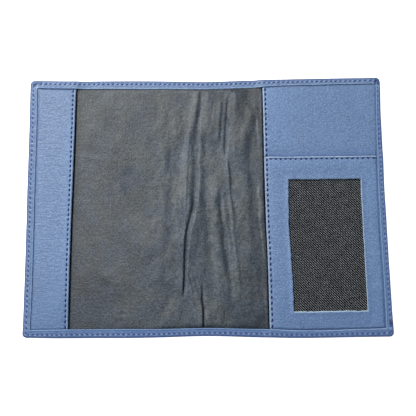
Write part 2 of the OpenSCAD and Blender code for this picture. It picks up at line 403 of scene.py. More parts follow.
def satin(name, colour, dark, light, scale=1.0, shine=0.4):
    """Satin-weave nylon: fine threads both ways, each of uneven tone, and a soft sheen."""
    g = G(name)
    p = g.bend(g.P, 0.25, 0.4)
    warp = g.noise(1.0, 2.0, 0.6, g.scale((2.7 / scale, 0.8 / scale, 1), p))
    weft = g.noise(1.0, 2.0, 0.6, g.scale((0.75 / scale, 3.0 / scale, 1), p))
    weave = g.mul(g.add(warp, weft), 0.5)
    slub = g.noise(1.0, 2.0, 0.5, g.scale((0.07, 1.3, 1)))
    cloud = g.noise(0.06, 4.0, 0.65)
    speck = g.noise(1.1 / scale, 1.5, 0.6)
    blot = g.noise(0.5 / scale, 2.0, 0.6)
    tone = g.add(g.mul(g.span(weave, 0.4, 0.6, kind="LINEAR"), 0.15), g.add(g.mul(g.span(speck, 0.38, 0.62, kind="LINEAR"), 0.5), g.add(g.mul(g.span(slub, 0.35, 0.65), 0.15), g.mul(g.span(blot, 0.36, 0.64), 0.15))))
    col = g.mix(dark, light, tone)
    col = g.mix(col, colour, 0.12)
    warm = g.node("ShaderNodeVectorMath", {0: col, 1: (1.045, 1.02, 0.945)}, operation="MULTIPLY")
    cool = g.node("ShaderNodeVectorMath", {0: col, 1: (0.955, 0.99, 1.055)}, operation="MULTIPLY")
    col = g.mix(cool, warm, g.span(cloud, 0.42, 0.6))
    col = g.tint(col, g.span(g.noise(0.11, 3.0, 0.6), 0.3, 0.7, 0.8, 1.2, "LINEAR"))
    # painted light: the lift attribute makes the cloth paler, as painted highlight on crests and slopes that face the
    # light, and as the broad paler patch from lining_lift
    col = g.tint(col, g.add(g.mul(g.attr("lift"), 0.3), 1.0))
    # painted shade: the deep attribute darkens the cloth in gaps, furrows and slopes turned from the light; the
    # specular below is damped there too
    col = g.tint(col, g.span(g.attr("deep"), 0.0, 1.0, 1.0, 0.08, "LINEAR"))
    n = g.bump(weave, 0.9, 0.14)
    n = g.bump(speck, 0.8, 0.19, n)
    n = g.bump(blot, 0.45, 0.32, n)
    r = g.span(weave, 0.35, 0.65, 0.46, 0.6, "LINEAR")
    spec = g.span(g.attr("deep"), 0.0, 1.0, shine, 0.05, "LINEAR")
    return g.finish(
        Base_Color=col,
        Roughness=r,
        Normal=n,
        Specular_IOR_Level=spec,
        Sheen_Weight=0.2 * shine,
        Sheen_Roughness=0.4,
        Sheen_Tint=(0.78, 0.82, 0.88, 1),
        Anisotropic=0.3,
    )


def net_yarn(name, colour, light):
    """Black spun ribs, with painted highlight along their crowns."""
    g = G(name)
    col = g.mix(colour, light, g.span(g.attr("edge"), 0.1, 0.8))
    col = g.tint(col, g.span(g.noise(0.22, 3.0, 0.6), 0.32, 0.68, 0.82, 1.18, "LINEAR"))
    return g.finish(Base_Color=col, Roughness=0.6, Specular_IOR_Level=0.08)


def yarn(name, colour, light, rough=0.5, sheen=0.3, fibre=9.0):
    """Spun thread: fine fibres along it and an uneven tone."""
    g = G(name)
    f = g.noise(fibre, 2.0, 0.6)
    lo = g.noise(0.7, 2.0, 0.5)
    col = g.mix(colour, light, g.span(f, 0.35, 0.75, 0.0, 0.8))
    col = g.tint(col, g.span(lo, 0.3, 0.7, 0.88, 1.12, "LINEAR"))
    return g.finish(Base_Color=col, Roughness=rough, Normal=g.bump(f, 0.5, 0.03), Specular_IOR_Level=0.4, Sheen_Weight=sheen)


def board(name):
    """Bonded leather fibre board: buff, flecked with brown and blue fibres."""
    g = G(name)
    fleck = g.noise(1.1, 4.0, 0.75)
    streak = g.noise(1.0, 3.0, 0.6, g.scale((0.25, 1.6, 1)))
    col = g.mix(rgb(196, 178, 148), rgb(150, 122, 88), g.span(fleck, 0.5, 0.75))
    col = g.mix(col, rgb(214, 202, 180), g.span(streak, 0.5, 0.8, 0.0, 0.6))
    return g.finish(Base_Color=col, Roughness=0.82, Normal=g.bump(fleck, 0.4, 0.06), Specular_IOR_Level=0.2)


COVER_LEATHER = leather("cover_leather", rgb(91, 116, 155), rgb(63, 87, 128), rgb(119, 145, 179), rgb(170, 192, 218), 1.0, 0.5, 0.8)
STRIP_LEATHER = leather("strip_leather", rgb(91, 117, 155), rgb(77, 103, 141), rgb(105, 131, 167), rgb(172, 194, 220), 0.95, 0.5, 0.8, 0.62)
POCKET_LEATHER = leather("pocket_leather", rgb(92, 118, 156), rgb(67, 92, 132), rgb(118, 144, 178), rgb(172, 194, 220), 0.95, 0.5, 0.8)
RAW = raw_edge("leather_cut_edge", rgb(132, 164, 184), rgb(190, 210, 220))
RAW_HEM = raw_edge("hem_cut_edge", rgb(80, 108, 150), rgb(118, 146, 184))
LINING = satin("lining_satin", rgb(52, 59, 67), rgb(28, 34, 40), rgb(80, 88, 97))
BACKING = satin("pocket_backing_satin", rgb(50, 56, 64), rgb(34, 39, 45), rgb(68, 75, 84))
CARD_CLOTH = satin("card_lining_cloth", rgb(9, 10, 11), rgb(6, 7, 8), rgb(12, 13, 15), 1.4, 0.08)
NET_YARN = net_yarn("net_yarn", rgb(5, 5, 6), rgb(152, 157, 164))
BLUE_THREAD = yarn("blue_thread", rgb(38, 62, 122), rgb(70, 98, 156), 0.5, 0.1)
NAVY_THREAD = yarn("navy_thread", rgb(2, 12, 66), rgb(10, 28, 98), 0.7, 0.0)
BOARD = board("fibre_board")

# ================================================================ outer cover: one sheet, turned over on all four sides
def build_cover():
    r, step = CR, 0.54
    n_x = 2 * int(round((HW - r) / step))
    n_y = 2 * int(round((HH - r) / step))
    n_x += n_x % 2
    n_y += n_y % 2
    fan = 8
    xs = np.linspace(-(HW - r), HW - r, n_x + 1)
    ys = np.linspace(-(HH - r), HH - r, n_y + 1)
    cols = []  # (kind, parameter)
    cols += [("t", x) for x in xs[::-1][:-1]]  # top edge, right to left
    cols += [("c", (-1, 1, math.pi / 2 + math.pi / 2 * k / fan)) for k in range(fan)]
    cols += [("l", y) for y in ys[::-1][:-1]]
    cols += [("c", (-1, -1, math.pi + math.pi / 2 * k / fan)) for k in range(fan)]
    cols += [("b", x) for x in xs[:-1]]
    cols += [("c", (1, -1, 1.5 * math.pi + math.pi / 2 * k / fan)) for k in range(fan)]
    cols += [("r", y) for y in ys[:-1]]
    cols += [("c", (1, 1, math.pi / 2 * k / fan)) for k in range(fan)]

    def place(kind, p, d):
        m = max(r, d)
        if kind == "t":
            return p * (HW - m) / (HW - r), HH - d
        if kind == "b":
            return p * (HW - m) / (HW - r), -(HH - d)
        if kind == "l":
            return -(HW - d), p * (HH - m) / (HH - r)
        if kind == "r":
            return HW - d, p * (HH - m) / (HH - r)
        sx, sy, a = p
        if d < r:
            return sx * (HW - r) + (r - d) * math.cos(a), sy * (HH - r) + (r - d) * math.sin(a)
        return sx * (HW - d), sy * (HH - d)

    # one width of turned edge for each column
    def width(kind, p):
        if kind == "c":
            sx, sy, a = p
            wx = float(hem_width(0, sy * (HH - r), "l" if sx < 0 else "r"))
            wy = float(hem_width(sx * (HW - r), 0, "t" if sy > 0 else "b"))
            k = abs(math.cos(a))
            return wy + (wx - wy) * k
        q = p * np.ones(1)
        return float(hem_width(q, q, kind)[0])

    w = np.array([width(k, p) for k, p in cols])
    # in a corner the width goes over from the upper or lower hem's to the side's
    rows = []  # (depth, height from: 0 base, 1 top, 2 inner), material
    D1 = 6.5

    def row(d, z, mat=0, mark=0):
        rows.append((d, z, mat, mark))

    row(lambda w: D1, lambda T: 0 * T)
    row(lambda w: 4.6, lambda T: 0 * T)
    row(lambda w: 3.0, lambda T: 0 * T)
    row(lambda w: ST + 0.42, lambda T: 0 * T + 0.02)
    row(lambda w: ST + 0.22, lambda T: 0 * T + 0.2)
    row(lambda w: ST, lambda T: 0 * T + 0.3, 0, 3)
    row(lambda w: ST - 0.22, lambda T: 0 * T + 0.2)
    row(lambda w: ST - 0.42, lambda T: 0 * T + 0.02)
    rx, sq = 1.05, 2.5
    for k in range(12):  # the turn, a full rounded nose
        a = -math.pi / 2 + math.pi * k / 12
        c, s = math.cos(a), math.sin(a)
        cc = max(c, 0) ** (2 / sq)
        ss = math.copysign(abs(s) ** (2 / sq), s)
        row(lambda w, cc=cc: rx * (1 - cc), lambda T, ss=ss: T / 2 + T / 2 * ss, 0, 1)
    # the furrow of the stitch row, pillowed between its holes
    for off in (-0.65, -0.45, -0.3, -0.15, 0.0, 0.15, 0.3, 0.45, 0.65):
        row(lambda w, off=off: ST + off, lambda T, off=off: T + 0.04 - 0.2 * gauss(off, 0.4), 0, 2)
    for f, rise in ((0.2, 0.04), (0.45, 0.03), (0.7, 0.0), (1.0, -0.03)):
        row(lambda w, f=f: ST + 0.65 + max(w - 0.75 - ST - 0.65, 0.05) * f, lambda T, rise=rise: T + rise)
    # the cut edge stands up a little
    row(lambda w: w - 0.55, lambda T: T + 0.05, 0, 5)
    row(lambda w: w - 0.36, lambda T: T + 0.13, 1, 5)
    row(lambda w: w - 0.18, lambda T: T + 0.13, 1, 5)
    row(lambda w: w - 0.02, lambda T: T + 0.03, 1, 5)
    row(lambda w: w + 0.1, lambda T: T - 0.14, 1, 5)
    row(lambda w: w + 0.16, lambda T: T - 0.34, 1)
    row(lambda w: w + 0.1, lambda T: T - 0.52, 1)
    row(lambda w: w - 0.12, lambda T: T - 0.59, 1)
    row(lambda w: w - 0.6, lambda T: T - 0.6)
    row(lambda w: 1.7, lambda T: T - 0.6)
    row(lambda w: 1.0, lambda T: T - 0.75)
    row(lambda w: 0.75, lambda T: T * 0.5)
    row(lambda w: 1.0, lambda T: 0 * T + COVER + 0.05)
    row(lambda w: 1.8, lambda T: 0 * T + COVER)
    row(lambda w: D1, lambda T: 0 * T + COVER)

    nc, nr = len(cols), len(rows)
    V = np.zeros((nr, nc, 3))
    A, E = np.zeros((nr, nc)), np.zeros((nr, nc))
    kinds = np.array([k for k, _ in cols])
    for i, (df, zf, mat, mark) in enumerate(rows):
        P = np.array([place(k, p, df(wi)) for (k, p), wi in zip(cols, w, strict=True)])
        T = hem_top(P[:, 0], P[:, 1])
        if mark == 1 or i > 40:
            Q = np.array([place(k, p, 1.6) for k, p in cols])
            T = np.where(mark == 1, hem_top(Q[:, 0], Q[:, 1]), T)
        z = zf(T)
        s = np.where(np.isin([k for k, _ in cols], ["t", "b"]), (P[:, 0] + HW - ST) / 2.725, (P[:, 1] + HH - ST) / 2.715)
        hole = 0.5 + 0.5 * np.cos(2 * math.pi * s)  # 1 at each needle hole
        if mark == 2:
            off = df(4.5) - ST
            hole = 0.5 + 0.5 * np.cos(2 * math.pi * (s + 0.22 * off))
            z = z + (-0.08 + 0.24 * hole) * float(gauss(off, 0.5))
            # painted shade under each stitch (stitch attribute), and painted highlight on the leather standing up
            # between stitches (edge attribute)
            A[i] = 0.6 * (1 - hole) ** 2 * float(gauss(off, 0.4))
            E[i] = 0.6 * hole**4 * float(gauss(off, 0.5))
        if mark == 5:
            # the hem's cut edge made paler: partly its own paler leather, partly painted highlight; most along the
            # upper and lower hems, less over the lining below and over the left pocket above, slight along the sides
            E[i] = np.where(kinds == "b", 0.28 - 0.24 * smooth(LM - 1, LM + 2, P[:, 0]) * smooth(RM + 2, RM - 1, P[:, 0]), np.where(kinds == "t", 0.34 - 0.24 * smooth(LM + 3, LM - 3, P[:, 0]), 0.1)) * (1 + 0.4 * vnoise(P[:, 0], P[:, 1], 4, 77))
        if mark == 1:
            # painted shade over the rounded turn of the hem
            A[i] = 0.3
        if mark == 3:
            z = z + 0.1 * np.cos(2 * math.pi * s)
            # painted shade along the underside's stitch row, most in the needle holes
            A[i] = 0.3 + 0.6 * hole**2
        V[i] = np.column_stack([P, z])
    faces, mats = [], []
    idx = np.arange(nr * nc).reshape(nr, nc)
    for i in range(nr - 1):
        m = 1 if rows[i][2] and rows[i + 1][2] == 1 else 0
        a, b = idx[i], idx[i + 1]
        q = np.column_stack([a, np.roll(a, -1), np.roll(b, -1), b])
        faces += q.tolist()
        mats += [m] * nc
    verts = V.reshape(-1, 3)

    # the flat plate inside the ring, on both faces, with every second column of the ring
    D2 = 8.0
    gx = xs[::2] * (HW - D2) / (HW - r)
    gy = ys[::2] * (HH - D2) / (HH - r)
    base = len(verts)
    X, Y = np.meshgrid(gx, gy, indexing="ij")
    nx, ny = len(gx), len(gy)
    for layer, z in ((0, 0.0), (1, COVER)):
        verts = np.vstack([verts, np.column_stack([X.ravel(), Y.ravel(), np.full(X.size, z)])])
        b0 = base + layer * X.size
        g = np.arange(nx * ny).reshape(nx, ny) + b0
        q = np.stack([g[:-1, :-1], g[1:, :-1], g[1:, 1:], g[:-1, 1:]], -1).reshape(-1, 4)
        faces += q.tolist()
        mats += [0] * len(q)
        ring = idx[0] if layer == 0 else idx[-1]

        def plate(j):
            k, p = cols[j % nc]
            if k == "t":
                return g[int(np.argmin(abs(xs[::2] - p))), ny - 1]
            if k == "b":
                return g[int(np.argmin(abs(xs[::2] - p))), 0]
            if k == "l":
                return g[0, int(np.argmin(abs(ys[::2] - p)))]
            if k == "r":
                return g[nx - 1, int(np.argmin(abs(ys[::2] - p)))]
            sx, sy, _ = p
            return g[0 if sx < 0 else nx - 1, 0 if sy < 0 else ny - 1]

        for j in range(0, nc, 2):
            a, b, c = ring[j], ring[(j + 1) % nc], ring[(j + 2) % nc]
            p, q2 = plate(j), plate(j + 2)
            tri = [[a, b, p], [b, c, q2]] + ([[b, q2, p]] if p != q2 else [])
            faces += [[int(v) for v in t] for t in tri]
            mats += [0] * len(tri)
    dark, pale = np.zeros(len(verts)), np.zeros(len(verts))
    dark[: A.size], pale[: E.size] = A.ravel(), E.ravel()
    # painted shade and painted highlight standing for puckers in the two upper corners, and one at the lower right
    near = lambda x, y, r, rx=1.0: np.exp(-(((verts[:, 0] - x) * rx) ** 2 + (verts[:, 1] - y) ** 2) / r**2) * (verts[:, 2] > 1.2)
    dark = dark + 3.4 * near(-97.3, 69.75, 0.6) + 0.8 * near(-95.0, 70.6, 0.7) + 2.0 * near(97.3, 69.8, 1.0, 0.8) + 1.0 * near(98.3, 68.6, 0.7) + 2.0 * near(98.3, -65.2, 1.1) + 0.7 * near(98.0, -70.2, 0.8)
    pale = pale + 1.8 * near(-96.2, 68.7, 0.8) + 0.5 * near(-97.8, 66.8, 0.7) + 0.6 * near(98.2, 66.8, 0.6) + 0.6 * near(97.4, -68.2, 0.7)
    vx, vy = verts[:, 0], verts[:, 1]
    rim = np.minimum(HW - np.abs(vx), HH - np.abs(vy))
    # painted shade: the lower and right hems, the outer rim and a strip along the left side go darker and bluer, where
    # less light falls
    painted_hem_shade = np.maximum(0.62 * smooth(-HH + 6.5, -HH + 4.5, vy), 0.45 * smooth(HW - 5.5, HW - 3.0, vx)) + 0.3 * smooth(1.5, 0.5, rim) + 0.15 * smooth(-HW + 3.0, -HW + 1.8, vx)
    # painted shade along the outer rim, stronger along the upper edge
    dark = dark + np.where(HH - vy < HW - np.abs(vx), 0.7, 0.3) * smooth(0.9, 0.3, rim)
    ob = new_mesh("outer_cover", verts, faces, mats, merge=0.004, attrs={"stitch": np.clip(dark, 0, 1.2), "edge": np.clip(pale, 0, 1), "deep": np.clip(painted_hem_shade, 0, 1)})
    ob.data.materials.append(COVER_LEATHER)
    ob.data.materials.append(RAW_HEM)
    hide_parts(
        "outer_cover_left",
        "outer_cover_right",
        "left_side_hem",
        "left_top_hem",
        "left_bottom_hem",
        "right_side_hem",
        "right_top_hem",
        "right_bottom_hem",
    )
    return ob


# ================================================================ pocket leathers: slabs with rolled edges
def slab(name, xs, ys, top, bottom, hole=None, roll=None, jitter=0.0, mats_for=None, attrs=None):
    """A closed sheet over a grid. roll(x, y, nx, ny) gives how far the edge bulges outwards, in mm."""
    xs, ys = np.asarray(xs, float), np.asarray(ys, float)
    X, Y = np.meshgrid(xs, ys, indexing="ij")
    nx, ny = X.shape
    cell = np.ones((nx - 1, ny - 1), bool)
    if hole is not None:
        cx, cy = (xs[:-1] + xs[1:]) / 2, (ys[:-1] + ys[1:]) / 2
        CXm, CYm = np.meshgrid(cx, cy, indexing="ij")
        cell &= ~hole(CXm, CYm)
    pad = np.pad(cell, 1)
    used = pad[:-1, :-1] | pad[1:, :-1] | pad[:-1, 1:] | pad[1:, 1:]
    whole = pad[:-1, :-1] & pad[1:, :-1] & pad[:-1, 1:] & pad[1:, 1:]
    rim = used & ~whole
    # outward direction at each rim point, from the empty cells round it
    ox = (~pad[1:, :-1]).astype(float) + (~pad[1:, 1:]) - (~pad[:-1, :-1]) - (~pad[:-1, 1:])
    oy = (~pad[:-1, 1:]).astype(float) + (~pad[1:, 1:]) - (~pad[:-1, :-1]) - (~pad[1:, :-1])
    length = np.maximum(np.hypot(ox, oy), 1e-9)
    ox, oy = ox / length, oy / length
    Xj, Yj = X.copy(), Y.copy()
    if jitter:
        inner = rim & (X > xs[0] + 1) & (X < xs[-1] - 1) & (Y > ys[0] + 1) & (Y < ys[-1] - 1)
        j = jitter * (0.6 * vnoise(X * 3.1 + 7, Y * 3.1, 1.9, 71) + 0.6 * vnoise(X, Y, 3.7, 72))
        Xj, Yj = X + np.where(inner, ox * j, 0), Y + np.where(inner, oy * j, 0)
    Zt, Zb = top(X, Y), bottom(X, Y)
    number_of = -np.ones((nx, ny), int)
    number_of[used] = np.arange(used.sum())
    n = int(used.sum())
    vt = np.column_stack([Xj[used], Yj[used], Zt[used]])
    vb = np.column_stack([Xj[used], Yj[used], Zb[used]])
    verts = [vt, vb]
    faces, mats = [], []
    I, J = np.nonzero(cell)
    q = np.stack([number_of[I, J], number_of[I + 1, J], number_of[I + 1, J + 1], number_of[I, J + 1]], -1)
    faces += q.tolist()
    mats += [0] * len(q)
    faces += (q[:, ::-1] + n).tolist()
    mats += [0] * len(q)
    # rows of the edge, from the top face to the bottom face
    ri, rj = np.nonzero(rim)
    bulge = roll(X[ri, rj], Y[ri, rj], ox[ri, rj], oy[ri, rj]) if roll is not None else np.zeros(len(ri))
    prof = [(0.1, 0.55), (0.28, 0.9), (0.5, 1.0), (0.72, 0.9), (0.9, 0.55)]
    edge_no = {}
    base = 2 * n
    for k, (f, o) in enumerate(prof):
        z = Zt[ri, rj] + (Zb[ri, rj] - Zt[ri, rj]) * f
        verts.append(np.column_stack([Xj[ri, rj] + ox[ri, rj] * bulge * o, Yj[ri, rj] + oy[ri, rj] * bulge * o, z]))
    place = {(int(a), int(b)): k for k, (a, b) in enumerate(zip(ri, rj, strict=True))}
    m = len(ri)

    def chain(a):
        k = place[a]
        v = number_of[a]
        return [v] + [base + i * m + k for i in range(len(prof))] + [v + n]

    def wall(a, b, mat):
        ca, cb = chain(a), chain(b)
        for p in range(len(ca) - 1):
            faces.append([int(ca[p]), int(cb[p]), int(cb[p + 1]), int(ca[p + 1])])
            mats.append(mat)

    for i in range(nx):
        for j in range(ny - 1):
            l, r2 = pad[i, j + 1], pad[i + 1, j + 1]
            if l != r2:
                wall((i, j), (i, j + 1), mats_for(X[i, j], (Y[i, j] + Y[i, j + 1]) / 2, True) if mats_for else 0)
    for i in range(nx - 1):
        for j in range(ny):
            l, r2 = pad[i + 1, j], pad[i + 1, j + 1]
            if l != r2:
                wall((i, j), (i + 1, j), mats_for((X[i, j] + X[i + 1, j]) / 2, Y[i, j], False) if mats_for else 0)
    verts = np.vstack(verts)
    return new_mesh(name, verts, faces, mats, attrs=attrs(verts[:, 0], verts[:, 1]) if attrs else None)


def lines(a, b, step, extra=()):
    """Grid lines from a to b about step apart, with finer lines at given places: (centre, offsets)."""
    n = max(1, int(round((b - a) / step)))
    out = list(np.linspace(a, b, n + 1))
    for c, offsets in extra:
        lo, hi = c + min(offsets), c + max(offsets)
        out = [v for v in out if not (lo - 0.12 < v < hi + 0.12)] + [c + o for o in offsets]
    out = sorted(set(round(v, 4) for v in out if a - 1e-6 <= v <= b + 1e-6))
    return np.array(out)


GROOVE = (-0.5, -0.3, -0.12, 0.0, 0.12, 0.3, 0.5)


def stitch_groove(t, along, pitch, depth=0.13, pit=0.11):
    """The furrow a stitch row pulls into leather. Each stitch sinks in, and the leather stands up between two stitches."""
    return -(depth - pit * np.cos(2 * math.pi * along / pitch)) * gauss(t, 0.34) - 0.05 * gauss(t, 0.9)


def stitch_dark(t, along, pitch):
    """How dark the leather is along a stitch row: under and round each stitch. It is painted shade where the stitch
    sinks in, and the leather's own darkening round the stitch too.
    """
    return 0.8 * gauss(t, 0.42) * (0.5 - 0.5 * np.cos(2 * math.pi * along / pitch)) ** 2


HEM_IN = 4.5
ROW_Y = HH - HEM_IN - 0.3
LEFT_P, RIGHT_P = 2 * ROW_Y / 49, 2 * ROW_Y / 46
CARD_0, CARD_1 = RM + 2.0, HW - HEM_IN - 0.2
CARD_P = (CARD_1 - CARD_0) / 21
LROW, RROW, CROW = LM - 1.3, RM + 1.15, CY - 1.3  # the lines of the mouth stitches


def hide_waves(X, Y, seed):
    return 0.07 * fbm(X, Y, 13, seed, 3) + 0.03 * vnoise(X, Y, 3.1, seed + 5)


def sewn_in(z, inset, sewn, under):
    """A pocket's face comes down to the seam: a crease just inside the turned edge, then pared leather under it."""
    rise = smooth(0.3, 1.5, inset) * 0.8 + smooth(0.3, 5.0, inset) * 0.2
    z = sewn * (1 - rise) + z * rise
    z = z - 0.1 * gauss(inset - 0.5, 0.25) + 0.04 * gauss(inset - 1.3, 0.4)
    return z * (1 - under) + (sewn - 0.05) * under


def hem_shade(y, side, low, high):
    """How dark the painted shade is in the crease beside the turned edge: along a side, along the lower edge, along the
    upper edge.
    """
    k = np.abs(y) > HH - HEM_IN - 1.6
    return np.where(k & (y < 0), low, np.where(k & (y > 0), high, side))


def sewn_down(X, Y):
    """1 where a pocket is free to lift, 0 at its sewn top and bottom."""
    return smooth(HH - HEM_IN, HH - HEM_IN - 16, np.abs(Y)) ** 0.8


def left_inset(X, Y):
    return np.minimum(X + HW - HEM_IN, HH - HEM_IN - np.abs(Y))


def left_top(X, Y):
    inset = left_inset(X, Y)
    z = PK + 0.6 * sewn_down(X, Y) * smooth(LM - 17, LM - 0.5, X) + 0.12 * smooth(0, 4, inset)
    z = z + 0.08 * smooth(LM - 9.5, LM - 7.5, X) + hide_waves(X, Y, 101)
    z = sewn_in(z, inset, PKH, smooth(0.1, -0.5, inset))
    z = z + stitch_groove(X - LROW, Y + ROW_Y, LEFT_P) * smooth(ROW_Y + 0.8, ROW_Y, np.abs(Y))
    z = z + 0.14 * gauss(X - (LM - 0.55), 0.4) * smooth(ROW_Y + 0.8, ROW_Y, np.abs(Y))
    return z - 0.16 * smooth(LM - 0.3, LM, X)


def left_bottom(X, Y):
    free = sewn_down(X, Y)
    return PK0 + 0.02 + 0.5 * free * smooth(LM - 17, LM - 0.5, X)


def build_left_pocket():
    xs = lines(-HW + 1.3, LM, 0.95, ((LROW, GROOVE), (LM - 0.3, (-0.3, -0.12, 0.06, 0.3)), (-HW + HEM_IN + 1.15, (-0.3, 0, 0.3, 0.7)), (-HW + HEM_IN, (-0.6, -0.2, 0.2))))
    ys = lines(-HH + 1.3, HH - 1.3, 0.625, ((HH - HEM_IN - 1.15, (-0.6, -0.3, 0, 0.3)), (-HH + HEM_IN + 1.15, (-0.3, 0, 0.3, 0.6))))
    def attrs(x, y):
        near = smooth(ROW_Y + 0.8, ROW_Y, np.abs(y))
        return {
            # painted highlight on the mouth's rolled lip
            "edge": 0.4 * smooth(LM - 0.95, LM - 0.5, x) * smooth(LM + 0.1, LM - 0.1, x),
            # painted light: lighter where the leather rises to the mouth, darker towards the top
            "lift": 1.1 * smooth(LM - 7, LM - 1.5, x) * smooth(-60, -30, y) * smooth(80, 40, y) - 0.6 * smooth(25, 65, y),
            # painted shade, darker towards the lower edge
            "deep": 0.2 * smooth(-30, -64, y),
            # painted shade round the stitches and in the crease beside the turned edge
            "stitch": stitch_dark(x - LROW, y + ROW_Y, LEFT_P) * near + hem_shade(y, 0.2, 0.85, 0.12) * gauss(left_inset(x, y) - 0.5, 0.3),
        }

    ob = slab("left_pocket", xs, ys, left_top, left_bottom, roll=lambda x, y, nx, ny: np.where(nx > 0.5, 0.26, 0.0), attrs=attrs)
    ob.data.materials.append(STRIP_LEATHER)
    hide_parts("left_pocket_leather")
    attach(ob, "left_half")
    return ob


def right_edge(y):
    """Inner edge of the turned edge on the right side."""
    return HW - hem_width(HW, y, "r")


def right_inset(X, Y):
    return np.minimum(right_edge(Y) - X, HH - HEM_IN - np.abs(Y))


def right_top(X, Y):
    inset = right_inset(X, Y)
    above = smooth(CY - 2, CY + 10, Y)
    z = PK + 0.55 * sewn_down(X, Y) * smooth(RM + 20, RM + 0.5, X) * (0.35 + 0.65 * above)
    z = z + 0.12 * smooth(0, 4, inset) * above + 0.08 * smooth(RM + 9.5, RM + 7.5, X) * above
    z = z + hide_waves(X, Y, 131) * (0.3 + 0.7 * above)
    z = sewn_in(z, inset, PKH, smooth(0.1, -0.5, inset))
    z = z + (stitch_groove(X - RROW, Y + ROW_Y, RIGHT_P) + 0.14 * gauss(X - (RM + 0.45), 0.38)) * smooth(ROW_Y + 0.8, ROW_Y, np.abs(Y)) * above
    z = z - 0.14 * smooth(CY + 2.2, CY + 0.4, Y) * smooth(0, 1, inset)
    return z - 0.16 * smooth(RM + 0.3, RM, X)


def right_bottom(X, Y):
    free = sewn_down(X, Y)
    above = smooth(CY - 2, CY + 10, Y)
    return PK0 + 0.02 + 0.45 * free * smooth(RM + 20, RM + 0.5, X) * (0.35 + 0.65 * above)


def build_right_pocket():
    xs = lines(RM, HW - 1.3, 1.0, ((RROW, GROOVE), (RM + 0.3, (-0.3, -0.06, 0.12, 0.3)), (HW - 3.2 - 1.15, (-0.7, -0.3, 0, 0.3)), (HW - HEM_IN, (-0.2, 0.2, 0.6))))
    ys = lines(-HH + 1.3, HH - 1.3, 0.625, ((HH - HEM_IN - 1.15, (-0.6, -0.3, 0, 0.3)), (CY + 0.6, (-0.3, 0, 0.3))))
    def attrs(x, y):
        near = smooth(ROW_Y + 0.8, ROW_Y, np.abs(y))
        return {
            # painted highlight on the mouth's rolled lip
            "edge": 0.5 * smooth(RM + 0.85, RM + 0.45, x),
            # painted light: lighter where the leather rises to the mouth, above the card pocket
            "lift": 1.1 * smooth(RM + 26, RM + 1.6, x) * smooth(CY, CY + 12, y),
            # painted shade where the leather comes down to the card pocket's mouth
            "deep": 0.32 * smooth(CY + 7.5, CY + 0.5, y) * smooth(RM, RM + 6, x),
            # painted shade round the stitches and in the crease beside the turned edge, and a painted shade line just
            # above the card pocket's mouth
            "stitch": stitch_dark(x - RROW, y + ROW_Y, RIGHT_P) * near + hem_shade(y, 0.35, 0.6, 0.15) * gauss(right_inset(x, y) - 0.5, 0.3) + 0.95 * gauss(y - CY - 0.45, 0.45),
        }

    ob = slab("right_pocket", xs, ys, right_top, right_bottom, roll=lambda x, y, nx, ny: np.where(nx < -0.5, 0.26, 0.0), attrs=attrs)
    ob.data.materials.append(POCKET_LEATHER)
    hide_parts("right_pocket_leather")
    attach(ob, "right_half")
    return ob


def card_top(X, Y):
    """Top face of the card pocket: low round its sewn sides, full between them, and dished towards the window's edges."""
    inset = np.minimum(right_edge(Y) - X, Y + HH - HEM_IN)
    belly = 0.14 * smooth(0, 3.5, np.minimum(inset, X - RM - 2.2)) + 0.3 * smooth(CY - 12, CY - 1, Y)
    wx = np.maximum(np.maximum(WX0 - X, X - WX1), np.maximum(WY0 - Y, Y - WY1))
    z = CD + belly + 0.26 * smooth(2.2, 0.3, wx) + hide_waves(X, Y, 151)
    z = z - 0.45 * smooth(RM + 2.6, RM + 0.9, X)
    z = sewn_in(z, inset, CDH, smooth(0.1, -0.5, inset))
    z = z + stitch_groove(X - RROW, Y + ROW_Y, RIGHT_P) * smooth(CY + 0.2, CY - 0.8, Y) * smooth(-ROW_Y - 0.8, -ROW_Y, Y)
    z = z + stitch_groove(Y - CROW, X - CARD_0, CARD_P) * smooth(RM + 1.6, RM + 2.2, X) * smooth(-0.2, 0.4, inset)
    z = z + 0.24 * gauss(Y - (CY - 0.45), 0.36) * smooth(RM + 1.5, RM + 3, X) * smooth(-0.2, 1.2, inset)
    z = z - 0.16 * smooth(CY - 0.3, CY, Y) - 0.12 * smooth(CX + 0.3, CX, X)
    return z - 0.1 * smooth(0.3, 0.0, wx)


def card_bottom(X, Y):
    inset = np.minimum(right_edge(Y) - X, Y + HH - HEM_IN)
    z = CD0 + 0.14 - 0.5 * smooth(RM + 2.6, RM + 0.9, X) - 0.55 * smooth(CY - 4.5, CY - 0.5, Y)
    low = CDH - 0.62 + 0 * z
    rise = smooth(0.3, 4.2, inset)
    return np.minimum(z, low * (1 - rise) + z * rise)


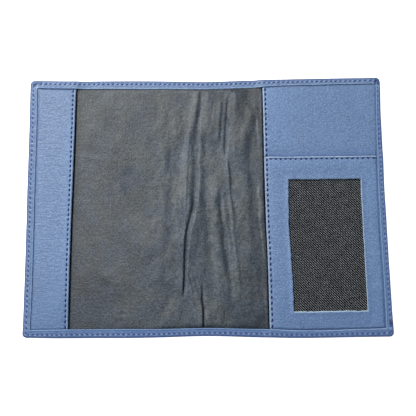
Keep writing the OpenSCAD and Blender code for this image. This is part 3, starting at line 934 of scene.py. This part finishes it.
def build_card_pocket():
    edge = (-0.55, -0.3, -0.12, 0.0)
    xs = lines(
        CX,
        HW - 1.3,
        0.85,
        (
            (RROW, (-0.45, -0.3, -0.12, 0.0, 0.12, 0.3, 0.5, 0.8, 1.2)),
            (WX0, edge),
            (WX1, (0.0, 0.12, 0.3, 0.55)),
            (HW - HEM_IN - 1.15, (-0.7, -0.3, 0, 0.3)),
            (HW - HEM_IN, (-0.2, 0.2, 0.6)),
        ),
    )
    ys = lines(
        -HH + 1.3,
        CY,
        0.625,
        (
            (WY0, edge),
            (WY1, (0.0, 0.12, 0.3, 0.55)),
            (CROW, GROOVE),
            (CY - 0.3, (-0.4, -0.15, 0.05, 0.18, 0.3)),
            (-HH + HEM_IN + 1.15, (-0.3, 0, 0.3, 0.6)),
        ),
    )

    def roll(x, y, nx, ny):
        inner = (x > CX + 1) & (x < HW - 3) & (y < CY - 1) & (y > -HH + 3)
        return np.where(inner, np.where(ny > 0.5, 0.36, np.where(nx < -0.5, 0.16, 0.14)), np.where((ny > 0.5) | (nx < -0.5), 0.24, 0.0))

    def attrs(x, y):
        wx = np.maximum(np.maximum(WX0 - x, x - WX1), np.maximum(WY0 - y, y - WY1))
        inset = np.minimum(right_edge(y) - x, y + HH - HEM_IN)
        dark = stitch_dark(x - RROW, y + ROW_Y, RIGHT_P) * smooth(CY + 0.2, CY - 0.8, y)
        dark = dark + stitch_dark(y - CROW, x - CARD_0, CARD_P) * smooth(RM + 1.6, RM + 2.2, x)
        return {
            # painted highlight on the rolled lips of both mouths and on the window's lower cut edge, with a little on
            # its other cut edges
            "edge": 0.5 * smooth(RM + 0.85, RM + 0.45, x) + np.maximum(0.8 * smooth(CY - 0.75, CY - 0.4, y), smooth(0.5, 0.0, np.abs(wx)) * np.where(y < WY0 + 0.2, 0.45, 0.1)),
            # painted light: lighter on the right, just below the mouth, towards the left side and beside the window's
            # left edge
            "lift": np.maximum(0.9 * smooth(RM + 48, 92, x), smooth(CY - 9, CY - 2.5, y)) * smooth(CY - 1.0, CY - 1.8, y) + 0.35 * smooth(RM + 20, RM + 2, x) + 0.8 * smooth(4.0, 0.6, wx) * smooth(WX0 + 4, WX0 - 1, x),
            # painted shade, darker towards the lower edge
            "deep": 0.2 * smooth(-30, -62, y),
            # painted shade round the stitches and in the crease beside the turned edge
            "stitch": dark + hem_shade(y, 0.35, 0.5, 0.15) * gauss(inset - 0.5, 0.3),
        }

    def mat(x, y, upright):
        return 1 if (x > CX + 1 and x < HW - 3 and y < CY - 1 and y > -HH + 3) else 0

    ob = slab(
        "card_pocket",
        xs,
        ys,
        card_top,
        card_bottom,
        hole=lambda x, y: (x > WX0) & (x < WX1) & (y > WY0) & (y < WY1),
        roll=roll,
        jitter=0.24,
        mats_for=mat,
        attrs=attrs,
    )
    ob.data.materials.append(POCKET_LEATHER)
    ob.data.materials.append(RAW)
    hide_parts("card_pocket_frame")
    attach(ob, "right_half")
    return ob


# ================================================================ cloth behind the pockets
def cloth_slab(name, x0, x1, y0, y1, zf, thick, mat, body, node, step=2.0):
    xs, ys = lines(x0, x1, step), lines(y0, y1, step)
    ob = slab(name, xs, ys, lambda X, Y: zf(X, Y), lambda X, Y: zf(X, Y) - thick)
    ob.data.materials.append(mat)
    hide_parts(node)
    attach(ob, body)
    return ob


# ================================================================ lining
def path(t, pts):
    """x of a wrinkle's line at each y, and how far it is inside the line's ends."""
    pts = sorted(pts, key=lambda p: p[1])
    ys_, xs_ = np.array([p[1] for p in pts], float), np.array([p[0] for p in pts], float)
    return np.interp(t, ys_, xs_), ys_[0], ys_[-1]


def wrinkle(X, Y, pts, amp, wl, wr, ends=(7, 7), sharp=2.0, ramp=None):
    """A ridge (amp > 0) or furrow along a line, wl and wr wide on its left and right."""
    c, y0, y1 = path(Y, pts)
    c = c + 0.35 * vnoise(Y, 0 * Y, 9, 301 + int(abs(amp) * 100)) + 0.12 * vnoise(Y, 0 * Y, 3.3, 302)
    t = X - c
    w = np.where(t < 0, wl, wr)
    fade = smooth(y0 - ends[0] * 0.4, y0 + ends[0], Y) * smooth(y1 + ends[1] * 0.4, y1 - ends[1], Y)
    a = amp * fade
    if ramp is not None:
        a = a * np.interp(Y, [p[0] for p in ramp], [p[1] for p in ramp])
    return a * np.exp(-(np.abs(t / w) ** sharp))


V1 = [(-3.0, 68.5), (-3.6, 59.6), (-4.6, 52.2), (-5.4, 44.8), (-6.5, 39.1), (-7.1, 31.3), (-7.4, 20.9), (-7.5, 10.7), (-8.0, -0.8), (-9.5, -7.8), (-11.0, -15.3), (-11.9, -22.7), (-12.2, -32.6), (-12.6, -42.3), (-12.7, -50.6)]
R1 = [(-5.6, 68), (-6.2, 62.8), (-8.0, 52.2), (-10.4, 41.7), (-11.9, 33.4), (-12.4, 23.6), (-12.7, 13.3), (-13.2, 0.6), (-13.8, -12.8), (-14.4, -22.7), (-14.9, -32.5), (-15.3, -42.3), (-16.4, -49.5), (-17.5, -58)]
R1B = [(-1.3, 62), (-3.4, 43.7), (-3.9, 31.2), (-4.2, 20.9), (-4.4, 5.6), (-6.6, -7.8), (-8.8, -17.8), (-10.2, -27.7), (-11.0, -37.4), (-11.2, -44.7), (-11.8, -52.0)]
V1B = [(-8.4, 42), (-9.6, 31.3), (-10.0, 21.0), (-10.5, 10.7), (-10.9, 0.6), (-11.1, -4.8), (-11.4, -14.8)]
D0 = [(-20.6, 42), (-21.2, 32.4), (-21.2, 21.0), (-20.3, 15.9), (-21.7, 5.7), (-21.6, -12.7), (-22.6, -25.1), (-24.1, -37.4), (-25.5, -50)]
V1C = [(-1.0, 44), (-1.5, 36.4), (-1.6, 20.9), (-2.0, 10.7), (-1.8, -0.8), (-0.4, -12.9), (0.3, -22.8), (0.2, -32.6), (-1.1, -42.4)]
V2 = [(12.6, 62.0), (12.2, 54.7), (11.6, 47.8), (10.7, 41.5), (10.7, 36.3), (10.4, 31.1), (11.5, 27.0), (12.7, 22.8), (13.1, 17.7), (13.6, 10.5), (14.0, 2.9), (15.1, -3), (15.4, -13.0), (15.9, -21.9), (16.6, -28.8), (17.5, -35.7), (17.9, -42.5), (18.2, -54.1)]
V2B = [(9.3, 60), (8.9, 49.4), (8.5, 43.6), (7.6, 36)]
R2 = [(13.9, 62), (13.3, 55.7), (12.7, 49.4), (12.6, 41.5), (11.9, 35.2), (11.4, 28.5), (11.6, 23.3), (12.0, 15.6), (12.5, 5.5), (13.1, -2.9), (13.9, -13.0), (14.8, -22.9), (15.5, -32.7), (16.2, -42.5), (16.6, -54)]
R2T = [(16.3, 66), (15.6, 57.3), (15.7, 50.9), (14.4, 42)]
V3 = [(6.8, 12), (7.2, 1.1), (7.8, -7.9), (8.9, -17.9), (9.8, -27.8), (10.6, -37.6), (11.7, -44.9), (12.4, -54.1)]
R3 = [(3.4, 14), (4.0, -0.9), (3.7, -12.9), (4.4, -27.7), (5.2, -40.0), (6.0, -49.7), (5.5, -60)]
R3B = [(8.4, 6), (9.2, -2.9), (10.7, -12.9), (12.0, -22.9), (12.9, -32.7), (13.8, -42.5), (14.5, -56)]
V4 = [(-2.6, -44), (-2.7, -52.0), (-2.0, -56.8), (-1.8, -61.6), (-2.2, -69)]
E1 = [(26.0, 52), (25.3, 36.2), (24.9, 20.7), (24.9, 5.4), (25.1, -8.0), (25.6, -26)]
E2 = [(29.0, 54), (29.9, 36.1), (29.5, 20.6), (29.3, 5.3), (29.6, -8.1), (30.9, -27.9), (30.6, -47.4), (30.4, -60)]


# each crease or ridge of the loose cloth: its line, the slope of the cloth across it at each y, and its width at each y
V4R = [(x + 1.2, y) for x, y in V4]
FOLDS = [
    (R1, ((-60, 0.26), (-45, 0.5), (-10, 0.52), (20, 0.3), (50, 0.22), (66, 0.18)), ((-60, 2.3), (0, 2.1), (60, 1.8)), (7, 5)),
    (V1, ((-52, -1.15), (-12, -1.2), (0, -0.8), (20, -0.46), (45, -0.46), (66, -0.55)), ((-52, 0.5), (-12, 0.55), (5, 1.15), (40, 1.35), (66, 0.8)), (4, 1)),
    (R1B, ((-52, 0.85), (-10, 0.9), (5, 0.8), (60, 0.5)), ((-52, 0.5), (60, 0.42)), (5, 5)),
    (V1B, ((-15, -0.42), (42, -0.36)), ((-15, 0.42), (42, 0.42)), (6, 6)),
    (D0, ((-50, -0.14), (0, -0.24), (42, -0.16)), ((-50, 2.6), (42, 2.4)), (12, 12)),
    (V1C, ((-42, -0.3), (0, -0.34), (44, -0.2)), ((-42, 1.8), (44, 1.8)), (10, 10)),
    (V2, ((-54, -0.15), (-10, -0.35), (10, -0.6), (26, -1.0), (35, -0.9), (60, -0.6)), ((-54, 0.9), (20, 0.6), (60, 0.6)), (8, 5)),
    (R2, ((-54, 0.3), (0, 0.55), (28, 0.95), (60, 0.6)), ((-54, 1.2), (28, 0.75), (60, 0.9)), (8, 5)),
    (V2B, ((36, -0.6), (60, -0.5)), ((36, 0.65), (60, 0.75)), (4, 4)),
    (R2T, ((42, 0.3), (66, 0.25)), ((42, 1.2), (66, 1.5)), (4, 3)),
    (V3, ((-54, -0.4), (-20, -0.5), (12, -0.3)), ((-54, 1.4), (12, 1.4)), (8, 10)),
    (R3, ((-60, 0.2), (-30, 0.34), (14, 0.22)), ((-60, 2.2), (14, 2.0)), (8, 12)),
    (R3B, ((-56, 0.45), (-20, 0.6), (6, 0.45)), ((-56, 1.2), (6, 0.9)), (7, 8)),
    (V4, ((-69, -1.25), (-50, -1.1)), ((-69, 0.5), (-50, 0.45)), (1, 6)),
    (V4R, ((-69, 0.5), (-50, 0.5)), ((-69, 0.6), (-50, 0.6)), (1, 6)),
    (E1, ((-26, -0.2), (52, -0.24)), ((-26, 1.6), (52, 1.5)), (12, 12)),
    (E2, ((-60, 0.42), (54, 0.5)), ((-60, 0.6), (54, 0.6)), (10, 9)),
    ([(21.5, 66), (20.0, 54), (18.6, 46)], ((46, -0.2), (66, -0.2)), ((46, 2.2), (66, 2.4)), (6, 5)),
    ([(23.6, 44), (22.8, 33), (21.6, 24)], ((24, -0.24), (44, -0.24)), ((24, 2.2), (44, 2.2)), (7, 7)),
    ([(0.6, 66), (0.2, 56), (-0.6, 46)], ((46, 0.16), (66, 0.2)), ((46, 1.6), (66, 1.6)), (7, 3)),
]


def relief_table():
    """The loose cloth's height on a fine grid. Each crease is a steep step, let down again gently over the cloth round it."""
    x = np.arange(-44, 40.01, 0.1)
    y = np.arange(-HH, HH + 0.01, 0.5)
    X, Y = np.meshgrid(x, y, indexing="ij")
    z = 0 * X
    for n, (line, steep, wide, ends) in enumerate(FOLDS):
        c, y0, y1 = path(y, line)
        c = c + 0.3 * vnoise(y, 0 * y, 8, 301 + n) + 0.1 * vnoise(y, 0 * y, 3.1, 340 + n)
        a = np.interp(y, [p[0] for p in steep], [p[1] for p in steep]) * (1 + 0.2 * vnoise(y, 0 * y, 11, 370 + n))
        w = np.interp(y, [p[0] for p in wide], [p[1] for p in wide])
        a = 1.25 * a * smooth(y0 - ends[0] * 0.4, y0 + ends[0], y) * smooth(y1 + ends[1] * 0.4, y1 - ends[1], y)
        broad = 3.2 + 2.0 * w
        z = z + 0.886 * a * w * (np.tanh(1.13 * (X - c) / w) - np.tanh(1.13 * (X - c) / broad))
    return x, y, z


RELIEF = relief_table()


def relief(X, Y):
    gx, gy, z = RELIEF
    u = np.clip((X - gx[0]) / 0.1, 0, len(gx) - 1.001)
    v = np.clip((Y - gy[0]) / 0.5, 0, len(gy) - 1.001)
    i, j = u.astype(int), v.astype(int)
    u, v = u - i, v - j
    return (z[i, j] * (1 - u) + z[i + 1, j] * u) * (1 - v) + (z[i, j + 1] * (1 - u) + z[i + 1, j + 1] * u) * v


def mouth_gap(Y):
    """How wide the dark gap beside the right pocket's mouth is at each height."""
    return 0.55 + 0.55 * gauss(Y - 8, 26) + 0.25 * smooth(-20, -50, Y)


def lining_top(X, Y):
    # the loose cloth stands off the cover near the fold, more towards the lower edge
    z = (0.75 + 0.3 * smooth(30, -40, Y)) * smooth(-36, -15, X) * smooth(33.5, 21, X) + 0.16 * smooth(LM + 2, LM + 12, X) * smooth(32, 26, X)
    z = z + relief(X, Y)
    # small slanting crinkles above the lower furrow
    for x0, y0, x1, y1, a in ((-10.2, -40.5, -7.0, -53, 0.34), (-8.3, -39.6, -4.6, -51, 0.36), (-6.2, -39.0, -2.6, -49, 0.36), (-4.2, -39.6, -0.4, -47, 0.3), (-8.6, -50, -5.6, -62, 0.22), (2.6, 58, 5.4, 47, 0.16), (5.2, 62, 3.4, 50, -0.16), (-9.0, -58, -5.4, -67, -0.26), (-12.8, -58, -15.6, -68, -0.2), (9.8, -58, 8.8, -67, -0.2)):
        ux, uy = x1 - x0, y1 - y0
        ln = math.hypot(ux, uy)
        ux, uy = ux / ln, uy / ln
        s = (X - x0) * ux + (Y - y0) * uy
        t = (X - x0) * uy - (Y - y0) * ux
        z = z + a * gauss(t, 0.5) * smooth(-1.5, 2.5, s) * smooth(ln + 1.5, ln - 2.5, s)
    # soft dents of cloth that isn't pulled tight
    z = z + 0.5 * fbm(X * 1.3, Y * 0.8, 17, 201, 4) * (0.7 + 0.6 * smooth(-45, -15, X)) * smooth(LM, LM + 10, X)
    z = z + 0.08 * fbm(X * 1.4, Y * 0.6, 5.0, 205, 2) * (0.6 + 0.5 * smooth(-30, -12, X)) * smooth(LM, LM + 10, X)
    for px, py, ux, uy, w, a, lo, hi in ((-66, 30.4, 0.93, -0.36, 1.7, -0.42, -9, 8), (-66, 27.4, 0.93, -0.36, 1.8, 0.2, -9, 8), (-37, 4, 0.6, -0.8, 3.4, -0.4, -17, 16), (-41, -1, 0.6, -0.8, 3.4, 0.3, -15, 15), (-53, -52, 0.2, -0.98, 2.6, -0.5, -10, 10), (-49, -54, 0.2, -0.98, 2.4, 0.3, -9, 9), (-58, -24, 0.93, -0.36, 3.0, -0.3, -12, 14), (-70, -46, 0.3, -0.95, 3.0, -0.35, -12, 12)):
        along, across = (X - px) * ux + (Y - py) * uy, (X - px) * uy - (Y - py) * ux
        z = z + a * gauss(across + 0.6 * np.sin(along * 0.35), w) * smooth(lo - 2, lo + 4, along) * smooth(hi + 2, hi - 4, along)
    z = z + 0.22 * gauss((X + 45) * 0.4 + (Y + 44), 4.0) * gauss(X + 45, 16)
    # short puckers where it runs under the turned edge
    z = z + 0.16 * vnoise(X, Y * 0.25, 3.4, 215) * smooth(HH - HEM_IN - 12, HH - HEM_IN - 2, -Y) * smooth(LM, LM + 6, X)
    z = z + 0.07 * vnoise(X, Y * 0.25, 3.1, 217) * smooth(HH - HEM_IN - 9, HH - HEM_IN - 2, Y) * smooth(LM, LM + 6, X)
    # held flat under the turned edge, and under the pockets
    hold = smooth(HH - HEM_IN + 0.1, HH - HEM_IN - 2.6, np.abs(Y)) ** 0.7
    hold = hold * smooth(LM - 1.5, LM + 7, X) * smooth(RM + 4.5, RM - 2.5, X)
    z = z * hold
    # it dives steeply at the pockets' mouths
    z = z + 0.16 * gauss(X - (RM - 0.5 - 1.2 * mouth_gap(Y)), 0.8) * smooth(HH - HEM_IN, HH - HEM_IN - 8, np.abs(Y))
    z = z + 0.05 * gauss(X - (LM + 2.1), 0.8) * smooth(HH - HEM_IN, HH - HEM_IN - 8, np.abs(Y))
    # it can't sink into the board, or into the cover at the soft spine
    low = 0.04 - 0.4 * smooth(BEND - 0.2, BEND - 2.2, np.abs(X))
    z = low + 0.5 * (z - low + np.sqrt((z - low) ** 2 + 0.02))
    return LIN + np.where(hold > 0, z, 0.0)


def lining_deep(x, y):
    """1 where the cloth lies down in a gap, in permanent shade."""
    g = mouth_gap(y)
    d = smooth(RM - 0.5 - g * 1.15, RM - 0.45 - g * 0.35, x) * smooth(RM + 3, RM + 1, x)
    d = np.maximum(d, smooth(LM + 1.45, LM + 0.7, x) * smooth(LM - 3, LM - 1, x))
    d = np.maximum(d, 0.22 * smooth(LM + 4.5, LM + 1.0, x) * smooth(LM - 3, LM - 1, x))
    d = np.maximum(d, 0.15 * smooth(RM - 3.5, RM - 1.5, x) * smooth(RM + 3, RM + 1, x))
    d = np.maximum(d, 0.2 * smooth(6, 18, x) * smooth(-46, -62, y))
    d = np.maximum(d, 0.1 * smooth(4, 16, x) * smooth(30, 50, y))
    d = np.maximum(d, 0.1 * smooth(-48, -60, x) * smooth(-30, -50, y))
    d = np.maximum(d, 0.45 * smooth(HH - HEM_IN - 1.7, HH - HEM_IN - 0.3, -y))
    d = np.maximum(d, 0.3 * smooth(HH - HEM_IN - 1.5, HH - HEM_IN, y))
    c, y0, y1 = path(y, V1)
    d = np.maximum(d, 0.5 * gauss(x - c - 0.2, 0.5) * smooth(-4, -16, y) * smooth(-54, -48, y))
    c, y0, y1 = path(y, V4)
    return np.maximum(d, 0.6 * gauss(x - c - 0.1, 0.5) * smooth(-46, -53, y))


def lining_lift(x, y):
    """Where the standing cloth is made a little paler: a broad patch over the middle, towards the top."""
    return gauss(x + 6, 26) * smooth(62, 30, y) * (0.8 + 0.5 * vnoise(x, y * 0.4, 9, 231)) + 0.5 * gauss(x - 5, 40) * smooth(-20, 10, y) * smooth(40, 20, y)


def lining_shades(x, y):
    """Painted light and shade on the cloth: painted highlight along its crests and on the slopes that face up the
    light, painted shade in its furrows and on the slopes turned from it, with the gaps from lining_deep and the paler
    patch from lining_lift.
    """
    here, e, f = lining_top(x, y), 0.25, 0.6
    slope = (lining_top(x + e, y) - lining_top(x - e, y)) / (2 * e)
    crest = (2 * here - lining_top(x + f, y) - lining_top(x - f, y)) / f**2
    free = smooth(LM + 3, LM + 6, x) * smooth(RM - 1.8, RM - 3.2, x)
    up = free * (2.9 * np.clip(slope - 0.1, 0, 0.9) + 1.15 * np.clip(crest - 0.15, 0, 1.6))
    down = free * (0.38 * np.clip(-slope - 0.1, 0, 1.0) + 0.17 * np.clip(-crest - 0.15, 0, 1.6))
    return {"deep": np.clip(np.maximum(lining_deep(x, y), 0) + down, 0, 1), "lift": 0.55 * lining_lift(x, y) + up}


def build_lining():
    runs = ((-HW + 1.2, LM - 1, 1.7), (LM - 1, LM + 3.6, 0.32), (LM + 3.6, -30, 1.5), (-30, RM - 3.4, 0.44), (RM - 3.4, RM + 0.8, 0.3), (RM + 0.8, HW - 1.2, 1.8))
    xs = np.concatenate([np.linspace(a, b, max(2, int((b - a) / step)), endpoint=False) for a, b, step in runs] + [[HW - 1.2]])
    ys = lines(-HH + 1.2, HH - 1.2, 1.0, ((-HH + HEM_IN + 0.9, (-0.6, 0, 0.6)), (HH - HEM_IN - 0.9, (-0.6, 0, 0.6))))
    ob = slab("lining", xs, ys, lining_top, lambda X, Y: lining_top(X, Y) - 0.17, attrs=lining_shades)
    ob.data.materials.append(LINING)
    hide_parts("lining_left", "lining_right")
    return ob


# ================================================================ stitches
def stitches(name, items, mat, radius=0.27, turns=1.6):
    """Many stitches as one mesh. Each item is (centre, direction, outward normal, length, rise). Two plies twist round each other, and both ends dive into their holes."""
    rings, sides = 9, 8
    t = np.linspace(-1, 1, rings)
    th = np.linspace(0, 2 * math.pi, sides, endpoint=False)
    V, F = [], []
    for k, (c, u, n, length, rise) in enumerate(items):
        c, u, n = (np.array(a, float) for a in (c, u, n))
        u = u / np.linalg.norm(u)
        s = np.cross(n, u)
        wob = 0.035 * math.sin(k * 2.399)
        L = length * (1 + 0.05 * math.sin(k * 1.7))
        for i in range(rings):
            a = t[i]
            up = rise * (1 - abs(a) ** 2.4) - 0.42 * abs(a) ** 5
            centre = c + u * (a * L / 2 * (1 - 0.06 * abs(a) ** 6)) + n * up + s * wob
            ply = 1 + 0.15 * np.cos(2 * (th - a * math.pi * turns + k))
            r = radius * (1 - 0.25 * abs(a) ** 4) * ply
            V.append(centre + np.outer(np.cos(th) * r, s) + np.outer(np.sin(th) * r * 0.92, n))
        b = k * rings * sides
        for i in range(rings - 1):
            for j in range(sides):
                j2 = (j + 1) % sides
                F.append([b + i * sides + j, b + i * sides + j2, b + (i + 1) * sides + j2, b + (i + 1) * sides + j])
        F.append([b + j for j in range(sides)][::-1])
        F.append([b + (rings - 1) * sides + j for j in range(sides)])
    ob = new_mesh(name, np.vstack(V), F)
    ob.data.materials.append(mat)
    return ob


def slant(u, n, deg):
    """u turned a little about n, as a lockstitch lies."""
    a = math.radians(deg)
    u, n = np.array(u, float), np.array(n, float)
    return u * math.cos(a) + np.cross(n, u) * math.sin(a)


def build_threads():
    up, down = (0, 0, 1), (0, 0, -1)
    e, f = HW - ST, HH - ST
    nx, ny = 72, 52
    px, py = 2 * e / nx, 2 * f / ny
    top, under = [], []
    for i in range(nx):
        x = -e + px * (i + 0.5)
        for s in (-1, 1):
            y = s * f
            z = float(hem_top(np.array([x]), np.array([y]))[0])
            ahead = [float(hem_top(np.array([x + d]), np.array([y]))[0]) for d in (-1, 1)]
            u = np.array([2.0, 0, ahead[1] - ahead[0]])
            top.append(((x, y, z - 0.16), slant(u, up, 19), up, px * 0.62, 0.16))
            under.append(((x, y, 0.26), slant((1, 0, 0), down, 7), down, px * 0.74, 0.06))
    for i in range(ny):
        y = -f + py * (i + 0.5)
        for s in (-1, 1):
            x = s * e
            z = float(hem_top(np.array([x]), np.array([y]))[0])
            ahead = [float(hem_top(np.array([x]), np.array([y + d]))[0]) for d in (-1, 1)]
            u = np.array([0, 2.0, ahead[1] - ahead[0]])
            top.append(((x, y, z - 0.16), slant(u, up, 19), up, py * 0.62, 0.16))
            under.append(((x, y, 0.26), slant((0, 1, 0), down, 7), down, py * 0.74, 0.06))
    a = stitches("hem_stitching", top, BLUE_THREAD, 0.33)
    b = stitches("outside_stitching", under, BLUE_THREAD, 0.22)
    for ob, nodes in ((a, ("hem_thread_left", "hem_thread_right")), (b, ("outside_thread_left", "outside_thread_right"))):
        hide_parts(*nodes)

    def one(fn, x, y):
        return float(fn(np.array([x]), np.array([y]))[0])

    row = []
    n, p = 49, LEFT_P
    for i in range(n):
        y = -ROW_Y + p * (i + 0.5)
        x = LROW
        row.append(((x, y, one(left_top, x, y) + 0.02), slant((0, 1, 0), up, -13), up, p * 0.66, 0.14))
    c = stitches("left_mouth_stitching", row, NAVY_THREAD, 0.45)
    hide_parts("left_mouth_thread")
    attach(c, "left_half")
    row = []
    n, p = 46, RIGHT_P
    for i in range(n):
        y = -ROW_Y + p * (i + 0.5)
        x = RROW
        z = one(card_top, x, y) if y < CY - 0.2 else one(right_top, x, y)
        row.append(((x, y, z + 0.02), slant((0, 1, 0), up, -13), up, p * 0.66, 0.14))
    d = stitches("right_mouth_stitching", row, NAVY_THREAD, 0.5)
    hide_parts("right_mouth_thread")
    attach(d, "right_half")
    row = []
    q = CARD_P
    for i in range(21):
        x = CARD_0 + q * (i + 0.5)
        y = CROW
        row.append(((x, y, one(card_top, x, y) + 0.02), slant((1, 0, 0), up, 8), up, q * 0.52, 0.14))
    g = stitches("card_mouth_stitching", row, NAVY_THREAD, 0.43)
    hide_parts("card_mouth_thread")
    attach(g, "right_half")
    return a, b


# ================================================================ net behind the window
def build_net():
    """An open net on the bias: round ribs one way, and thinner yarns across them, each over and under the other."""
    pitch = 0.96
    x0, x1, y0, y1 = WX0 - 3.0, WX1 + 3.0, WY0 - 3.0, WY1 + 3.0
    mid = (NETB[0][2] + NETB[1][2]) / 2 + 0.02
    V, F, C, count = [], [], [], 0

    def sag(x, y):
        u, v = (x - (WX0 + WX1) / 2) / (WX1 - WX0), (y - (WY0 + WY1) / 2) / (WY1 - WY0)
        return -0.07 * np.clip(1 - 4 * u * u, 0, 1) * np.clip(1 - 4 * v * v, 0, 1)

    for family, (d, r, tall, sides) in enumerate((((1, -1), 0.19, 0.75, 8), ((1, 1), 0.09, 0.9, 4))):
        d = np.array(d) / math.sqrt(2)
        nrm = np.array((-d[1], d[0]))
        th = np.linspace(0, 2 * math.pi, sides, endpoint=False)
        # painted highlight along the top of each rib, brighter where it rides over; the thin cross yarns get almost
        # none and stay black
        painted_crown_highlight = np.clip(np.sin(th), 0, 1) ** 5 * (1.0 if family == 0 else 0.05)
        corners = np.array([(x0, y0), (x1, y0), (x1, y1), (x0, y1)])
        c0, c1 = (corners @ nrm).min(), (corners @ nrm).max()
        for k in range(1, int((c1 - c0) / pitch)):
            c = c0 + k * pitch
            p = nrm * c
            lo, hi = -1e9, 1e9
            for a, (b0, b1) in enumerate(((x0, x1), (y0, y1))):
                t0, t1 = sorted(((b0 - p[a]) / d[a], (b1 - p[a]) / d[a]))
                lo, hi = max(lo, t0), min(hi, t1)
            if hi - lo < 1.2:
                continue
            n = max(3, int((hi - lo) / 0.4) + 1)
            t = np.linspace(lo, hi, n)
            q = p[None] + d[None] * t[:, None]
            q = q + nrm[None] * (0.1 * vnoise(t, 0 * t + k * 0.7, 6, 401 + family))[:, None]
            wave = np.cos(math.pi * (t / pitch + k))
            z = mid + sag(q[:, 0], q[:, 1]) + (0.03 + 0.05 * wave if family == 0 else -0.05 - 0.06 * wave)
            path_xyz = np.column_stack([q, z])
            ring = np.outer(np.cos(th) * r, (*nrm, 0)) + np.outer(np.sin(th) * r * tall, (0, 0, 1))
            V.append((path_xyz[:, None, :] + ring[None]).reshape(-1, 3))
            C.append((painted_crown_highlight[None] * (0.8 + 0.2 * wave[:, None])).ravel())
            i = np.arange(n - 1)[:, None] * sides
            j = np.arange(sides)[None]
            jj = (j + 1) % sides
            F.extend((np.stack([i + j, i + jj, i + sides + jj, i + sides + j], -1).reshape(-1, 4) + count).tolist())
            F.append([count + a for a in range(sides)][::-1])
            F.append([count + (n - 1) * sides + a for a in range(sides)])
            count += n * sides
    ob = new_mesh("card_net", np.vstack(V), F, attrs={"edge": np.concatenate(C)})
    ob.data.materials.append(NET_YARN)
    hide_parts("card_window_net")
    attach(ob, "right_half")
    return ob


# ================================================================ fibre boards inside the two halves
def build_board(side):
    name = "left" if side < 0 else "right"
    lo, hi = box(f"stiffener_{name}")
    xs, ys = lines(lo[0], hi[0], 1.9), lines(lo[1], hi[1], 1.9)
    ob = slab(f"{name}_stiffening_board", xs, ys, lambda X, Y: 0 * X + hi[2] - 0.03, lambda X, Y: 0 * X + lo[2] + 0.03)
    ob.data.materials.append(BOARD)
    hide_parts(f"stiffener_{name}")
    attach(ob, f"{name}_half")


# ================================================================ build
cover = build_cover()
build_board(-1)
build_board(1)
build_left_pocket()
build_right_pocket()
build_card_pocket()
lining = build_lining()
cloth_slab(
    "left_pocket_backing_cloth", -HW + 1.4, LM - 1.0, -HH + 1.4, HH - 1.4,
    lambda X, Y: left_bottom(X, Y) - 0.03, 0.14, BACKING, "left_half", "left_pocket_backing",
)
cloth_slab(
    "right_pocket_backing_cloth", RM + 1.0, HW - 1.4, -HH + 1.4, HH - 1.4,
    lambda X, Y: right_bottom(X, Y) - 0.03, 0.14, BACKING, "right_half", "right_pocket_backing",
)
cloth_slab(
    "card_pocket_lining_cloth", CX + 1.6, HW - 1.4, -HH + 1.4, CY - 1.2,
    lambda X, Y: right_top(X, Y) + 0.17, 0.13, CARD_CLOTH, "right_half", "card_pocket_lining",
)
hem_thread, outside_thread = build_threads()
build_net()
for ob in (cover, lining, hem_thread, outside_thread):
    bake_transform(ob)


# ================================================================ floor, light, camera
def floor():
    me = bpy.data.meshes.new("floor")
    s = 3.0
    me.from_pydata([(-s, -s, 0), (s, -s, 0), (s, s, 0), (-s, s, 0)], [], [(0, 1, 2, 3)])
    ob = bpy.data.objects.new("floor", me)
    bpy.context.scene.collection.objects.link(ob)
    ob.location.z = -0.00002
    m = bpy.data.materials.new("floor_white")
    m.use_nodes = True
    b = m.node_tree.nodes["Principled BSDF"]
    b.inputs["Base Color"].default_value = (0.93, 0.93, 0.93, 1)
    b.inputs["Roughness"].default_value = 0.9
    b.inputs["Specular IOR Level"].default_value = 0.1
    b.inputs["Emission Color"].default_value = (1, 1, 1, 1)
    b.inputs["Emission Strength"].default_value = 1.0
    me.materials.append(m)


floor()


def area(name, place, aim, size, power, colour=(1, 1, 1)):
    d = bpy.data.lights.new(name, "AREA")
    d.shape, d.size, d.energy, d.color = "DISK", size, power, colour
    ob = bpy.data.objects.new(name, d)
    ob.location = place
    ob.rotation_euler = (Vector(aim) - Vector(place)).to_track_quat("-Z", "Y").to_euler()
    bpy.context.scene.collection.objects.link(ob)


area("key", (-0.38, 0.48, 0.62), (-0.02, 0.0, 0.0), 0.2, 7.8, (1.02, 0.98, 0.91))
area("veil", (-0.30, 0.34, 0.80), (0, 0, 0), 0.35, 2.8, (1.0, 0.99, 0.96))
area("fill", (0.40, -0.30, 0.9), (0, 0, 0), 0.9, 1.5, (0.86, 0.95, 1.1))
world = bpy.data.worlds.new("soft")
bpy.context.scene.world = world
world.use_nodes = True
world.node_tree.nodes["Background"].inputs[0].default_value = (0.87, 0.95, 1.08, 1)
world.node_tree.nodes["Background"].inputs[1].default_value = 0.22
bpy.context.scene.view_settings.view_transform = "Standard"
bpy.context.scene.view_settings.look = "None"

# camera: nearly overhead, from a little below the holder's lower edge
RX, RY, RZ = math.radians(-9.9), math.radians(0.615), math.radians(-0.40)
SHIFT_T = Vector((-1.15, -2.25, 389.0)) * MM
flip = Matrix(((1, 0, 0), (0, -1, 0), (0, 0, -1)))
turn = Matrix.Rotation(RX, 3, "X") @ Matrix.Rotation(RY, 3, "Y") @ Matrix.Rotation(RZ, 3, "Z")
world_to_cam = flip @ turn @ flip
place = -(world_to_cam.transposed() @ (flip @ SHIFT_T)) + Vector((0, 0, 2.2 * MM))
cam_data = bpy.data.cameras.new("camera")
cam_data.sensor_width = 36.0
cam_data.lens = 36.0 * 700 / 416
cam_data.clip_start, cam_data.clip_end = 0.01, 20
cam = bpy.data.objects.new("camera", cam_data)
bpy.context.scene.collection.objects.link(cam)
cam.matrix_world = Matrix.Translation(place) @ world_to_cam.transposed().to_4x4()
bpy.context.scene.camera = cam
